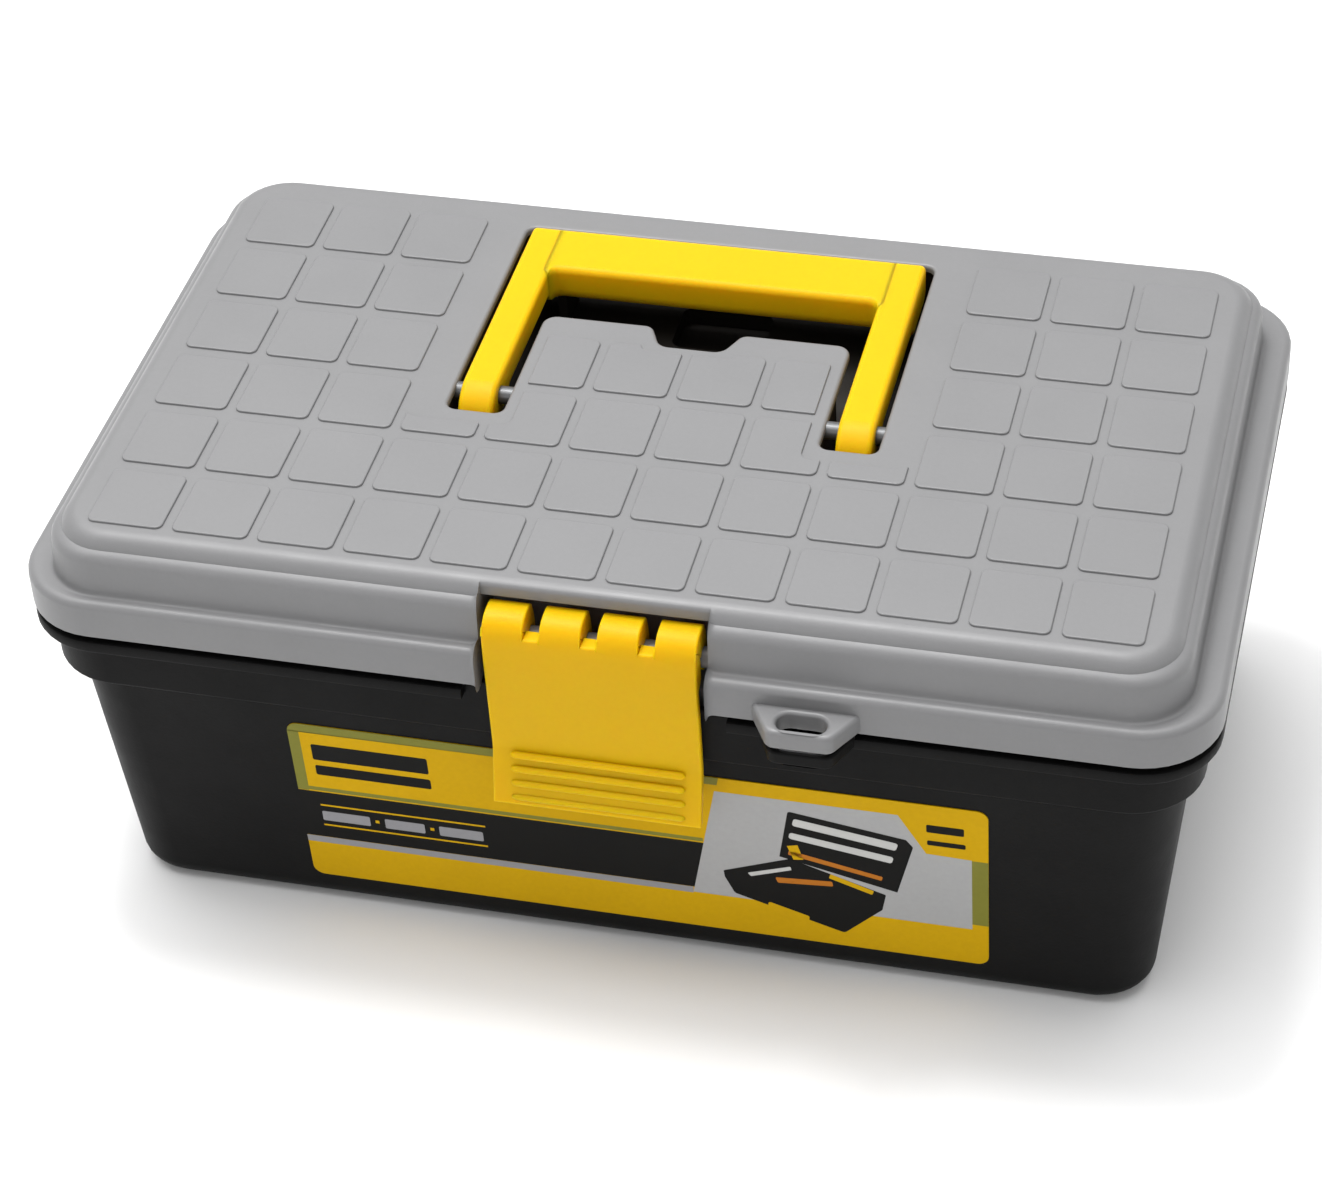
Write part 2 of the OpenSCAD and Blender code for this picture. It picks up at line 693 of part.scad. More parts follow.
module lift_out_tray() {
    end_x = half_x - tray_tub_inset - tray_draft - tray_wall;
    end_y = half_y - tray_tub_inset - tray_draft - tray_wall;
    inner_y = spine_w / 2;
    third = 2 * end_x / 3;
    gap_floor_z = tray_top_z - 24;
    color([0.33, 0.33, 0.34])
        difference() {
            union() {
                loft([[tray_tub_inset + tray_draft, tray_bottom_z], [tray_tub_inset, ledge_z]]);
                slab(tray_rim_inset, tray_rim_z, tray_top_z);
                // Grip bar over the spine
                translate([0, 0, tray_bottom_z + 4])
                    linear_extrude(grip_top_z - tray_bottom_z - 4)
                        round_rect(grip_half, inner_y, inner_y - 0.1);
            }
            for (i = [0:2]) {
                x = -end_x + i * third + (i > 0 ? tray_wall / 2 : 0);
                compartment(x, -end_x + (i + 1) * third - (i < 2 ? tray_wall / 2 : 0),
                            -end_y, -inner_y);
            }
            compartment(-end_x, third / 2, inner_y, end_y);
            compartment(third / 2 + tray_wall, end_x, inner_y, end_y);
            // Finger gap under the grip, right across the spine
            block([-grip_half + 12, -inner_y - over, gap_floor_z],
                  [grip_half - 12, inner_y + over, grip_top_z - 8]);
            // The spine is hollow from below
            block([-grip_half + 6, -inner_y + tray_wall, tray_bottom_z - over],
                  [grip_half - 6, inner_y - tray_wall, gap_floor_z - tray_wall]);
            for (s = [-1, 1])
                block([s * (end_x + grip_half) / 2 - (end_x - grip_half) / 2 + 2, -inner_y + tray_wall,
                       tray_bottom_z - over],
                      [s * (end_x + grip_half) / 2 + (end_x - grip_half) / 2 - 2, inner_y - tray_wall,
                       tray_top_z - tray_wall]);
        }
}

body_shell();
rim_lip();
padlock_lug();
hinge_pin_left();
hinge_pin_right();
front_label();
lid_shell();
handle_well();
well_screws();
latch_rod();
front_latch();
carry_handle();
handle_pin_left();
handle_pin_right();
lift_out_tray();
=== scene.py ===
"""Looks of the toolbox with tray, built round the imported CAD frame.

Sizes below are millimetres in the row frame and follow the part's source. A Builder collects
welded faces in millimetres and turns them into one object in metres.
"""

import math

import bmesh
import bpy
from mathutils import Matrix, Vector
from mathutils.geometry import tessellate_polygon


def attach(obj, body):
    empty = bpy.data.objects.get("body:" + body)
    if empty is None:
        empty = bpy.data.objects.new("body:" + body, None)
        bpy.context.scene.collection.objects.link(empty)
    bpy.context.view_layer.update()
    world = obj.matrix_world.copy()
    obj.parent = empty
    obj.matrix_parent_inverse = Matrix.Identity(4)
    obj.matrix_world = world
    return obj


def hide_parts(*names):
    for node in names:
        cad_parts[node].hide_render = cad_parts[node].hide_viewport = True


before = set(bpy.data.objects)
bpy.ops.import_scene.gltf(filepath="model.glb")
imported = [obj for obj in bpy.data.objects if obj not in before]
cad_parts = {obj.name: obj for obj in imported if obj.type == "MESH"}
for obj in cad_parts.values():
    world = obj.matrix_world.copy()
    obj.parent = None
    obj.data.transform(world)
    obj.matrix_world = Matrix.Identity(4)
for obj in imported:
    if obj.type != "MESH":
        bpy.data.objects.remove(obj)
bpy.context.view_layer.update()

MM = 0.001
SHARP_ANGLE = 44.0

# ---------------------------------------------------------------- sizes

HALF_X, HALF_Y, RIM_R, SHRINK = 200.0, 120.0, 27.0, 0.45
WALL = 2.6
FOOT_INSET, WALL_INSET, FOOT_R, FLOOR_T = 19.0, 10.5, 8.0, 3.0
BAND_Z, BAND_INSET, BAND_INNER, LEDGE_Z = 102.0, 5.0, 7.6, 104.6
LIP_Z, LIP_INSET, LIP_TOP = 120.0, 0.2, 124.5
UPSTAND_INSET, UPSTAND_TOP = 4.8, 138.8
LATCH_CLEAR = 44.2
LID_Z, FLANGE_TOP, FLANGE_R, FLANGE_INNER_Z = 127.0, 141.5, 2.6, 139.1
DOME_INSET, DOME_SETBACK, TOP_Z, CEILING_Z = 5.0, 4.8, 162.2, 159.6
INNER_TOP_INSET, INNER_R = 17.0, 6.4
CREASE_INSET, CREASE_Z, SHOULDER_INSET, SHOULDER_R = 9.2, 157.6, 10.0, 4.2
PLATEAU_INSET, ROLL_START = 15.0, 25.0
NOTCH_HALF, BLOCK_HALF, NOTCH_INSET = 38.0, 43.0, 11.5
TILE_X, TILE_Y, TILE_R, TILE_TOP = 13.0, 14.05, 2.5, 163.0
TILE_PITCH_X, TILE_PITCH_Y, TILE_BACK_Y = 29.31, 32.82, 75.9
TILE_COLUMNS, TILE_ROWS, TILE_EDGE = 12, 6, 0.45
# Strip without tiles round the handle, and its margin on the tongue
CLEAR_HALF, CLEAR_FRONT, CLEAR_BACK, CLEAR_MARGIN = 88.0, -28.5, 94.5, 4.6
OPEN_HALF, OPEN_FRONT, OPEN_BACK, OPEN_R = 74.5, -21.0, 88.5, 3.5
TONGUE_HALF, TONGUE_BACK, NOTCH_DEPTH, NOTCH_FLOOR, NOTCH_MOUTH = 54.6, 37.0, 11.0, 11.0, 16.0
WELL_FLOOR_Z = 136.0
SCREW_X, SCREW_ROWS = 86.5, (-14.0, 34.0, 80.0)
EYE_X, EYE_Y, EYE_L, EYE_W = 70.5, -126.5, 16.4, 8.4
HINGE_X, HINGE_Y, HINGE_Z, KNUCKLE_R, HINGE_BORE_R = 110.0, 125.5, 124.0, 4.6, 2.05
LID_KNUCKLE, TUB_KNUCKLE, KNUCKLE_GAP = 8.0, 10.0, 0.4
HANDLE_OUT, HANDLE_IN, BAR_FRONT, BAR_BACK, BAR_UNDER = 71.7, 59.3, 61.0, 86.0, 150.5
HANDLE_TOP, LEG_UNDER, NOSE_Y, NOSE_R = 165.0, 154.0, -6.0, 13.5
HANDLE_PIN_Z, HANDLE_BORE_R, LEG_EDGE, FLARE_R, FLARE_MAX = 158.0, 3.3, 1.9, 4.0, 3.2
LATCH_HALF, LATCH_FRONT, PIN_Y, PIN_Z, LATCH_LOW = 35.3, -120.5, -109.5, 142.5, 80.0
LATCH_BORE_R, LATCH_GAP, LATCH_KNUCKLES, GRIP_RIBS = 3.6, 5.4, 4, 4
POCKET_BACK, POCKET_TOP = 24.1, 156.3
TRAY_LOW, TRAY_FLOOR, TRAY_TOP, TRAY_X, TRAY_Y = 62.0, 64.0, 107.0, 180.5, 100.5
TRAY_SPINE, TRAY_WALL, TRAY_EDGE, TRAY_ROUND, GRIP_TOP = 7.0, 1.8, 0.45, 3.0, 114.0


# ---------------------------------------------------------------- outlines and meshes

def cosd(a):
    """Cosine of an angle in degrees."""
    return math.cos(math.radians(a))


def sind(a):
    """Sine of an angle in degrees."""
    return math.sin(math.radians(a))


def rounded(corners, steps=6):
    """Closed outline whose corners are (x, y, radius)."""
    pts = []
    count = len(corners)
    for i, (x, y, r) in enumerate(corners):
        p = Vector((x, y))
        if r <= 0:
            pts.append(p)
            continue
        u = (Vector(corners[i - 1][:2]) - p).normalized()
        v = (Vector(corners[(i + 1) % count][:2]) - p).normalized()
        half = math.acos(max(-1.0, min(1.0, u.dot(v)))) / 2
        centre = p + (u + v).normalized() * (r / math.sin(half))
        start = p + u * (r / math.tan(half)) - centre
        end = p + v * (r / math.tan(half)) - centre
        a0, a1 = math.atan2(start.y, start.x), math.atan2(end.y, end.x)
        sweep = (a1 - a0 + 3 * math.pi) % (2 * math.pi) - math.pi
        for k in range(steps + 1):
            a = a0 + sweep * k / steps
            pts.append(centre + Vector((math.cos(a), math.sin(a))) * r)
    return pts


def box_outline(x0, x1, y0, y1, r, steps=6):
    return rounded([(x0, y0, r), (x1, y0, r), (x1, y1, r), (x0, y1, r)], steps)


def circle(cx, cy, r, n=32):
    return [Vector((cx + r * math.cos(2 * math.pi * k / n), cy + r * math.sin(2 * math.pi * k / n)))
            for k in range(n)]


def area(loop):
    return sum(a.x * b.y - b.x * a.y for a, b in zip(loop, loop[1:] + loop[:1])) / 2


def offset(loop, d):
    """The outline moved outward by d, or inward where d is negative."""
    if abs(d) < 1e-9:
        return list(loop)
    sign = 1 if area(loop) > 0 else -1
    moved = []
    n = len(loop)
    for i, p in enumerate(loop):
        a = (p - loop[i - 1]).normalized()
        b = (loop[(i + 1) % n] - p).normalized()
        na, nb = Vector((a.y, -a.x)) * sign, Vector((b.y, -b.x)) * sign
        m = na + nb
        m = na if m.length < 1e-6 else m.normalized()
        moved.append(p + m * (d / max(0.35, m.dot(na))))
    return moved


def to_xy(u, v, w):
    return (u, v, w)


def along_x(u, v, w):
    """Outline in Y and Z, extruded along X."""
    return (w, u, v)


class Builder:
    """Faces in millimetres, welded where points coincide."""

    def __init__(self):
        self.verts, self.index, self.faces = [], {}, []

    def point(self, p):
        key = (round(p[0] * 2000), round(p[1] * 2000), round(p[2] * 2000))
        if key not in self.index:
            self.index[key] = len(self.verts)
            self.verts.append(tuple(p))
        return self.index[key]

    def face(self, pts):
        ids = [self.point(p) for p in pts]
        clean = [a for i, a in enumerate(ids) if a != ids[i - 1]]
        if len(clean) >= 3 and len(set(clean)) == len(clean):
            self.faces.append(clean)

    def strip(self, a, b, closed=True):
        n = len(a)
        for i in range(n if closed else n - 1):
            j = (i + 1) % n
            self.face([a[i], a[j], b[j], b[i]])

    def fill(self, loops, to_3d):
        """Flat region bounded by the first loop, with the others as holes."""
        flat = [[Vector((p.x, p.y, 0)) for p in loop] for loop in loops]
        every = [p for loop in flat for p in loop]
        for tri in tessellate_polygon(flat):
            self.face([to_3d(every[i]) for i in tri])

    def plate(self, outer, holes, w0, w1, r0, r1, place=to_xy, steps=3, hole_r=None):
        """Extruded outline with holes. r0 and r1 round the edges at its two ends."""
        for n, loop in enumerate([outer] + list(holes)):
            sign = -1 if n == 0 else 1
            a, b = (r0, r1) if n == 0 or hole_r is None else (hole_r, hole_r)
            rings = []
            for k in range(steps + 1):
                t = math.pi / 2 * k / steps
                rings.append((offset(loop, sign * a * (1 - math.sin(t))), w0 + a * (1 - math.cos(t))))
            for k in range(steps, -1, -1):
                t = math.pi / 2 * k / steps
                rings.append((offset(loop, sign * b * (1 - math.sin(t))), w1 - b * (1 - math.cos(t))))
            solid = [[place(p.x, p.y, w) for p in ring] for ring, w in rings]
            for one, two in zip(solid, solid[1:]):
                self.strip(one, two)
            if n == 0:
                low, high = [rings[0][0]], [rings[-1][0]]
            else:
                low.append(rings[0][0])
                high.append(rings[-1][0])
        self.fill(low, lambda p: place(p.x, p.y, w0))
        self.fill(high, lambda p: place(p.x, p.y, w1))

    def block_cells(self, us, vs, ws, filled, place):
        """Boundary of the filled cells of a grid, each corner put in place by a function."""

        def solid(i, j, k):
            inside = 0 <= i < len(us) - 1 and 0 <= j < len(vs) - 1 and 0 <= k < len(ws) - 1
            return inside and filled(i, j, k)

        def corner(i, j, k):
            return place(us[i], vs[j], ws[k])

        for i in range(len(us) - 1):
            for j in range(len(vs) - 1):
                for k in range(len(ws) - 1):
                    if not solid(i, j, k):
                        continue
                    for axis in range(3):
                        for side in (0, 1):
                            step = [0, 0, 0]
                            step[axis] = 1 if side else -1
                            if solid(i + step[0], j + step[1], k + step[2]):
                                continue
                            a, b = [n for n in range(3) if n != axis]
                            quad = []
                            for da, db in ((0, 0), (1, 0), (1, 1), (0, 1)):
                                at = [i, j, k]
                                at[axis] += side
                                at[a] += da
                                at[b] += db
                                quad.append(corner(*at))
                            self.face(quad)

    def make(self, name, material, body, replaces=(), bevel=None):
        """One object of the faces so far. bevel is (width, segments, least angle)."""
        mesh = bpy.data.meshes.new(name)
        mesh.from_pydata([Vector(v) * MM for v in self.verts], [], self.faces)
        bm = bmesh.new()
        bm.from_mesh(mesh)
        bmesh.ops.recalc_face_normals(bm, faces=bm.faces)
        for f in bm.faces:
            f.smooth = True
        for e in bm.edges:
            if len(e.link_faces) == 2 and e.calc_face_angle(0) > math.radians(SHARP_ANGLE):
                e.smooth = False
        bm.to_mesh(mesh)
        bm.free()
        obj = bpy.data.objects.new(name, mesh)
        bpy.context.scene.collection.objects.link(obj)
        mesh.materials.append(material)
        if bevel:
            width, segments, angle = bevel
            mod = obj.modifiers.new("edges", "BEVEL")
            mod.width, mod.segments = width * MM, segments
            mod.limit_method, mod.angle_limit = "ANGLE", math.radians(angle)
            mod.miter_outer = "MITER_ARC"
        weigh_normals(obj)
        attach(obj, body)
        if replaces:
            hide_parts(*replaces)
        return obj


def weigh_normals(obj):
    mod = obj.modifiers.new("normals", "WEIGHTED_NORMAL")
    mod.weight, mod.keep_sharp = 80, True


def cut_away(obj, cutter):
    """Take the cutter's solid out of the object's own mesh, and delete the cutter."""
    obj.modifiers.remove(obj.modifiers["normals"])
    cut = obj.modifiers.new("cut", "BOOLEAN")
    cut.object, cut.operation, cut.solver = cutter, "DIFFERENCE", "EXACT"
    depsgraph = bpy.context.evaluated_depsgraph_get()
    made = bpy.data.meshes.new_from_object(obj.evaluated_get(depsgraph))
    obj.modifiers.clear()
    obj.data = made
    bpy.data.objects.remove(cutter)


# ---------------------------------------------------------------- box shells

def rim_point(inset, column, setback=0.0):
    """Point of the rounded-rectangle outline, pulled in by inset, at one column of the ring.

    The setback pulls the sides and the back in further, as on the lid's dome.
    """
    r = RIM_R - SHRINK * inset - setback
    hx, hy = HALF_X - inset - setback, HALF_Y - inset
    kind, value = column
    if kind == "front":
        return (value, -hy)
    if kind in ("back", "br", "bl"):
        hy -= setback
    if kind == "back":
        return (value, hy)
    if kind == "right":
        return (hx, value)
    if kind == "left":
        return (-hx, value)
    sx, sy = {"fr": (1, -1), "br": (1, 1), "bl": (-1, 1), "fl": (-1, -1)}[kind]
    return (sx * (hx - r) + r * math.cos(value), sy * (hy - r) + r * math.sin(value))


CORNER_STEPS = 10


def corner_columns(kind, start):
    return [(kind, start + math.pi / 2 * k / CORNER_STEPS) for k in range(CORNER_STEPS + 1)]


def ring_columns(front_xs):
    """Columns once round the box, counter-clockwise seen from above, starting at the front left."""
    side_ys = (-60.0, 0.0, 60.0)
    back_xs = (-140.0, -70.0, 0.0, 70.0, 140.0)
    cols = [("front", x) for x in front_xs]
    cols += corner_columns("fr", -math.pi / 2)
    cols += [("right", y) for y in side_ys]
    cols += corner_columns("br", 0.0)
    cols += [("back", x) for x in reversed(back_xs)]
    cols += corner_columns("bl", math.pi / 2)
    cols += [("left", y) for y in reversed(side_ys)]
    cols += corner_columns("fl", math.pi)
    return cols


def raise_column(column, chain):
    """Rows are (inset, z) or (inset, z, setback)."""
    return [(*rim_point(row[0], column, *row[2:]), row[1]) for row in chain]


def join_columns(builder, columns):
    """columns are (points, chain name) in order round the box: same names give quads, others a side wall."""
    for (one, kind_one), (two, kind_two) in zip(columns, columns[1:] + columns[:1]):
        if kind_one == kind_two:
            builder.strip(one, two, closed=False)
        else:
            same = lambda p, q: max(abs(a - b) for a, b in zip(p, q)) < 1e-4
            head = 0
            while head < min(len(one), len(two)) - 1 and same(one[head + 1], two[head + 1]):
                head += 1
            tail = 1
            while tail < min(len(one), len(two)) and same(one[-tail - 1], two[-tail - 1]):
                tail += 1
            middle_one = one[head:len(one) - tail + 1]
            middle_two = two[head:len(two) - tail + 1]
            builder.face(middle_one + middle_two[-2:0:-1] if same(one[-tail], two[-tail])
                         else middle_one + middle_two[::-1])


def tub_inset(z):
    return FOOT_INSET - (FOOT_INSET - WALL_INSET) * z / BAND_Z


def inward(chain, i):
    """Unit normal at row i of a profile, pointing into the material."""
    a, b = chain[max(0, i - 1)], chain[min(len(chain) - 1, i + 1)]
    d = Vector((b[0] - a[0], b[1] - a[1]))
    return Vector((d.y, -d.x)).normalized() if d.length > 1e-9 else Vector((1, 0))


def loop_of(points):
    loop = []
    for p in points:
        v = Vector((p[0], p[1]))
        if not loop or (v - loop[-1]).length > 1e-4:
            loop.append(v)
    if (loop[0] - loop[-1]).length < 1e-4:
        loop.pop()
    return loop


# ---------------------------------------------------------------- materials

def material(name, colour, roughness, grain=0.0, grain_scale=900.0, tone=0.05, tone_scale=14.0,
             metallic=0.0, scuff=0.06, specular=0.5, glow=0.0):
    """Moulded plastic or metal: slow tone change, fine grain, and smudges in the gloss."""
    mat = bpy.data.materials.new(name)
    mat.use_nodes = True
    nodes, links = mat.node_tree.nodes, mat.node_tree.links
    shader = nodes["Principled BSDF"]
    shader.inputs["Metallic"].default_value = metallic
    shader.inputs["Specular IOR Level"].default_value = specular
    if glow:
        # Light that enters the translucent plastic and leaves nearby
        shader.inputs["Subsurface Weight"].default_value = glow
        shader.inputs["Subsurface Radius"].default_value = (1.0, 0.55, 0.06)
        shader.inputs["Subsurface Scale"].default_value = 0.009
    place = nodes.new("ShaderNodeTexCoord")

    def noise(scale, detail, rough=0.5):
        n = nodes.new("ShaderNodeTexNoise")
        n.inputs["Scale"].default_value = scale
        n.inputs["Detail"].default_value = detail
        n.inputs["Roughness"].default_value = rough
        links.new(place.outputs["Object"], n.inputs["Vector"])
        return n

    def ramp(source, low, high, a, b):
        m = nodes.new("ShaderNodeMapRange")
        m.inputs["From Min"].default_value, m.inputs["From Max"].default_value = low, high
        m.inputs["To Min"].default_value, m.inputs["To Max"].default_value = a, b
        links.new(source, m.inputs["Value"])
        return m.outputs["Result"]

    slow = noise(tone_scale, 3.0)
    fine = noise(grain_scale * 0.6, 2.0)
    mix = nodes.new("ShaderNodeMix")
    mix.data_type = "RGBA"
    mix.blend_type = "MULTIPLY"
    mix.inputs["Factor"].default_value = 1.0
    mix.inputs[6].default_value = (*colour, 1)
    shade = ramp(slow.outputs["Fac"], 0.3, 0.7, 1 - tone, 1 + tone)
    speck = ramp(fine.outputs["Fac"], 0.3, 0.7, 1 - tone * 0.5, 1 + tone * 0.5)
    times = nodes.new("ShaderNodeMath")
    times.operation = "MULTIPLY"
    links.new(shade, times.inputs[0])
    links.new(speck, times.inputs[1])
    grey = nodes.new("ShaderNodeCombineColor")
    for socket in ("Red", "Green", "Blue"):
        links.new(times.outputs[0], grey.inputs[socket])
    links.new(grey.outputs["Color"], mix.inputs[7])
    links.new(mix.outputs[2], shader.inputs["Base Color"])
    smudge = noise(tone_scale * 2.7, 5.0, 0.6)
    links.new(ramp(smudge.outputs["Fac"], 0.3, 0.7, roughness - scuff, roughness + scuff),
              shader.inputs["Roughness"])
    if grain:
        rough = noise(grain_scale, 2.0)
        bump = nodes.new("ShaderNodeBump")
        bump.inputs["Strength"].default_value = grain
        bump.inputs["Distance"].default_value = 0.00012
        links.new(rough.outputs["Fac"], bump.inputs["Height"])
        links.new(bump.outputs["Normal"], shader.inputs["Normal"])
    return mat


GREY = material("lid_grey", (0.170, 0.170, 0.173), 0.42, grain=0.25, tone=0.025)
BLACK = material("tub_black", (0.0052, 0.0052, 0.0052), 0.50, grain=0.35, tone=0.10, specular=0.08)
WELL_BLACK = material("well_black", (0.014, 0.012, 0.010), 0.50, grain=0.3, tone=0.12, specular=0.3)
YELLOW = material("handle_yellow", (0.632, 0.374, 0.0016), 0.42, grain=0.12, tone=0.02,
                  specular=0.10, glow=0.6)
TRAY_GREY = material("tray_grey", (0.051, 0.052, 0.054), 0.48, grain=0.35, tone=0.08)
STEEL = material("zinc_steel", (0.52, 0.53, 0.55), 0.32, grain=0.15, grain_scale=1600, tone=0.06,
                 metallic=1.0)
DARK_STEEL = material("pin_grey", (0.109, 0.112, 0.116), 0.35, grain=0.1, tone=0.08, metallic=0.4)
ROD_GREY = material("rod_grey", (0.170, 0.170, 0.173), 0.4, grain=0.2, tone=0.05)
INK_YELLOW = material("label_yellow", (0.540, 0.318, 0.0012), 0.42, grain=0.06, tone=0.05, specular=0.06)
INK_OLIVE = material("label_olive", (0.177, 0.170, 0.0204), 0.40, grain=0.06, tone=0.05, specular=0.15)
INK_BLACK = material("label_black", (0.0055, 0.0055, 0.0052), 0.42, grain=0.06, tone=0.08, specular=0.07)
INK_GREY = material("label_grey", (0.340, 0.340, 0.340), 0.38, grain=0.06, tone=0.04, specular=0.2)
INK_LINE = material("label_line", (0.245, 0.245, 0.258), 0.38, grain=0.06, tone=0.04, specular=0.2)
INK_WHITE = material("label_white", (0.490, 0.490, 0.476), 0.38, grain=0.06, tone=0.03, specular=0.2)
INK_ORANGE = material("label_orange", (0.422, 0.136, 0.0068), 0.38, grain=0.06, tone=0.05, specular=0.15)


# ---------------------------------------------------------------- tub

def build_tub():
    b = Builder()
    foot = []
    for a in range(0, 91, 15):
        z = FOOT_R * (1 - cosd(a))
        foot.append((tub_inset(z) + FOOT_R * (1 - sind(a)), z))
    outer = foot + [(tub_inset(BAND_Z - 1.2), BAND_Z - 1.2), (WALL_INSET - 0.25, BAND_Z - 0.3),
                    (WALL_INSET - 1.1, BAND_Z)]
    outer += [(BAND_INSET + 1.6 * (1 - sind(a)), BAND_Z + 1.6 * (1 - cosd(a))) for a in (0, 30, 60, 90)]
    outer += [(BAND_INSET, LIP_Z - 1.4)]
    inner_r = FOOT_R - WALL
    inner = [(BAND_INNER, LEDGE_Z + 1.0), (BAND_INNER + 0.3, LEDGE_Z + 0.3), (BAND_INNER + 1.0, LEDGE_Z),
             (WALL_INSET + WALL - 1.0, LEDGE_Z), (WALL_INSET + WALL - 0.3, LEDGE_Z - 0.3),
             (WALL_INSET + WALL, LEDGE_Z - 1.0)]
    low_curve = []
    for a in range(90, -1, -15):
        z = FLOOR_T + inner_r * (1 - cosd(a))
        low_curve.append((tub_inset(z) + WALL + inner_r * (1 - sind(a)), z))
    inner += low_curve
    full = [(BAND_INSET, LIP_Z - 0.7), (BAND_INSET - 0.4, LIP_Z - 0.1), (BAND_INSET - 1.0, LIP_Z),
            (LIP_INSET + 0.9, LIP_Z), (LIP_INSET + 0.26, LIP_Z + 0.26), (LIP_INSET, LIP_Z + 0.9),
            (LIP_INSET, LIP_TOP - 1.3), (LIP_INSET + 0.38, LIP_TOP - 0.38), (LIP_INSET + 1.3, LIP_TOP),
            (UPSTAND_INSET - 0.3, LIP_TOP + 0.05), (UPSTAND_INSET, LIP_TOP + 0.5),
            (UPSTAND_INSET, UPSTAND_TOP - 0.8), (UPSTAND_INSET + 0.25, UPSTAND_TOP - 0.2),
            (UPSTAND_INSET + 0.8, UPSTAND_TOP), (BAND_INNER - 0.8, UPSTAND_TOP),
            (BAND_INNER - 0.2, UPSTAND_TOP - 0.25), (BAND_INNER, UPSTAND_TOP - 0.8)]
    cut = [(BAND_INSET, LIP_TOP - 0.8), (BAND_INSET + 0.25, LIP_TOP - 0.2), (BAND_INSET + 0.8, LIP_TOP),
           (BAND_INNER - 0.8, LIP_TOP), (BAND_INNER - 0.2, LIP_TOP - 0.25), (BAND_INNER, LIP_TOP - 0.8)]
    chains = {"A": outer + full + inner, "B": outer + cut + inner}
    xs = [(-150, "A"), (-90, "A"), (-LATCH_CLEAR, "A"), (-LATCH_CLEAR, "B"), (0, "B"),
          (LATCH_CLEAR, "B"), (LATCH_CLEAR, "A"), (90, "A"), (150, "A")]
    kinds = [k for _, k in xs]
    cols = ring_columns([x for x, _ in xs])
    kinds += ["A"] * (len(cols) - len(kinds))
    columns = [(raise_column(c, chains[k]), k) for c, k in zip(cols, kinds)]
    join_columns(b, columns)
    # Underside with its two shallow panels, and the floor inside
    ground = loop_of([pts[0] for pts, _ in columns])
    panels = [box_outline(s * 85 - 65, s * 85 + 65, -66, 66, 5) for s in (-1, 1)]
    b.fill([ground] + panels, lambda p: (p.x, p.y, 0))
    for panel in panels:
        rim = [(p.x, p.y, 0) for p in panel]
        deep = offset(panel, -0.4)
        b.strip(rim, [(p.x, p.y, 1) for p in deep])
        b.fill([deep], lambda p: (p.x, p.y, 1))
    b.fill([loop_of([pts[-1] for pts, _ in columns])], lambda p: (p.x, p.y, FLOOR_T))
    # Hinge knuckles and their gussets
    gusset = rounded([(HALF_Y - BAND_INSET - 1.5, HINGE_Z - 17, 0), (HALF_Y - BAND_INSET - 1.5, HINGE_Z, 0),
                      (HINGE_Y, HINGE_Z + 0.4, 0), (HINGE_Y + KNUCKLE_R - 0.4, HINGE_Z - 1.2, 0),
                      (HINGE_Y + 1.5, HINGE_Z - KNUCKLE_R + 0.4, 2)])
    for side in (-1, 1):
        for half in (-1, 1):
            near = LID_KNUCKLE + KNUCKLE_GAP
            a = side * HINGE_X + half * near
            c = side * HINGE_X + half * (near + TUB_KNUCKLE)
            a, c = min(a, c), max(a, c)
            b.plate(circle(HINGE_Y, HINGE_Z, KNUCKLE_R), [circle(HINGE_Y, HINGE_Z, HINGE_BORE_R, 20)],
                    a, c, 0.5, 0.5, along_x, hole_r=0.2)
            b.plate(gusset, [], a + 0.3, c - 0.3, 0.4, 0.4, along_x)
    return b.make("tub_shell", BLACK, "tub", ["body_shell", "rim_lip"])


def eye_outline(root_half, nose_half, nose_y):
    front = -HALF_Y
    return rounded([(EYE_X - root_half, front + 6, 0), (EYE_X - root_half, front + 0.5, 1.5),
                    (EYE_X - nose_half, nose_y, 4), (EYE_X + nose_half, nose_y, 4),
                    (EYE_X + root_half, front + 0.5, 1.5), (EYE_X + root_half, front + 6, 0)])


def eye_slot():
    half, r = EYE_L / 2, EYE_W / 2 - 0.01
    return box_outline(EYE_X - half, EYE_X + half, EYE_Y - EYE_W / 2, EYE_Y + EYE_W / 2, r, 8)


def build_tub_lug():
    b = Builder()
    b.plate(eye_outline(15.5, 10, -HALF_Y - 11.6), [eye_slot()], LIP_Z + 0.6, LIP_TOP + 1.2,
            1.0, 1.0, hole_r=0.7)
    return b.make("tub_lug", BLACK, "tub", ["padlock_lug"])


# ---------------------------------------------------------------- lid

def tongue(margin):
    x, y, deep = TONGUE_HALF - margin, TONGUE_BACK - margin, TONGUE_BACK - NOTCH_DEPTH - margin
    return x, y, deep


def opening_loop():
    """The U-shaped opening round the handle, counter-clockwise."""
    x, y, deep = tongue(0)
    o, f, k = OPEN_HALF, OPEN_FRONT, OPEN_BACK
    m, n = NOTCH_MOUTH, NOTCH_FLOOR
    return rounded([(-o, f, OPEN_R), (-x, f, OPEN_R), (-x, y, 5), (-m, y, 4), (-n, deep, 5), (n, deep, 5),
                    (m, y, 4), (x, y, 5), (x, f, OPEN_R), (o, f, OPEN_R), (o, k, OPEN_R), (-o, k, OPEN_R)])


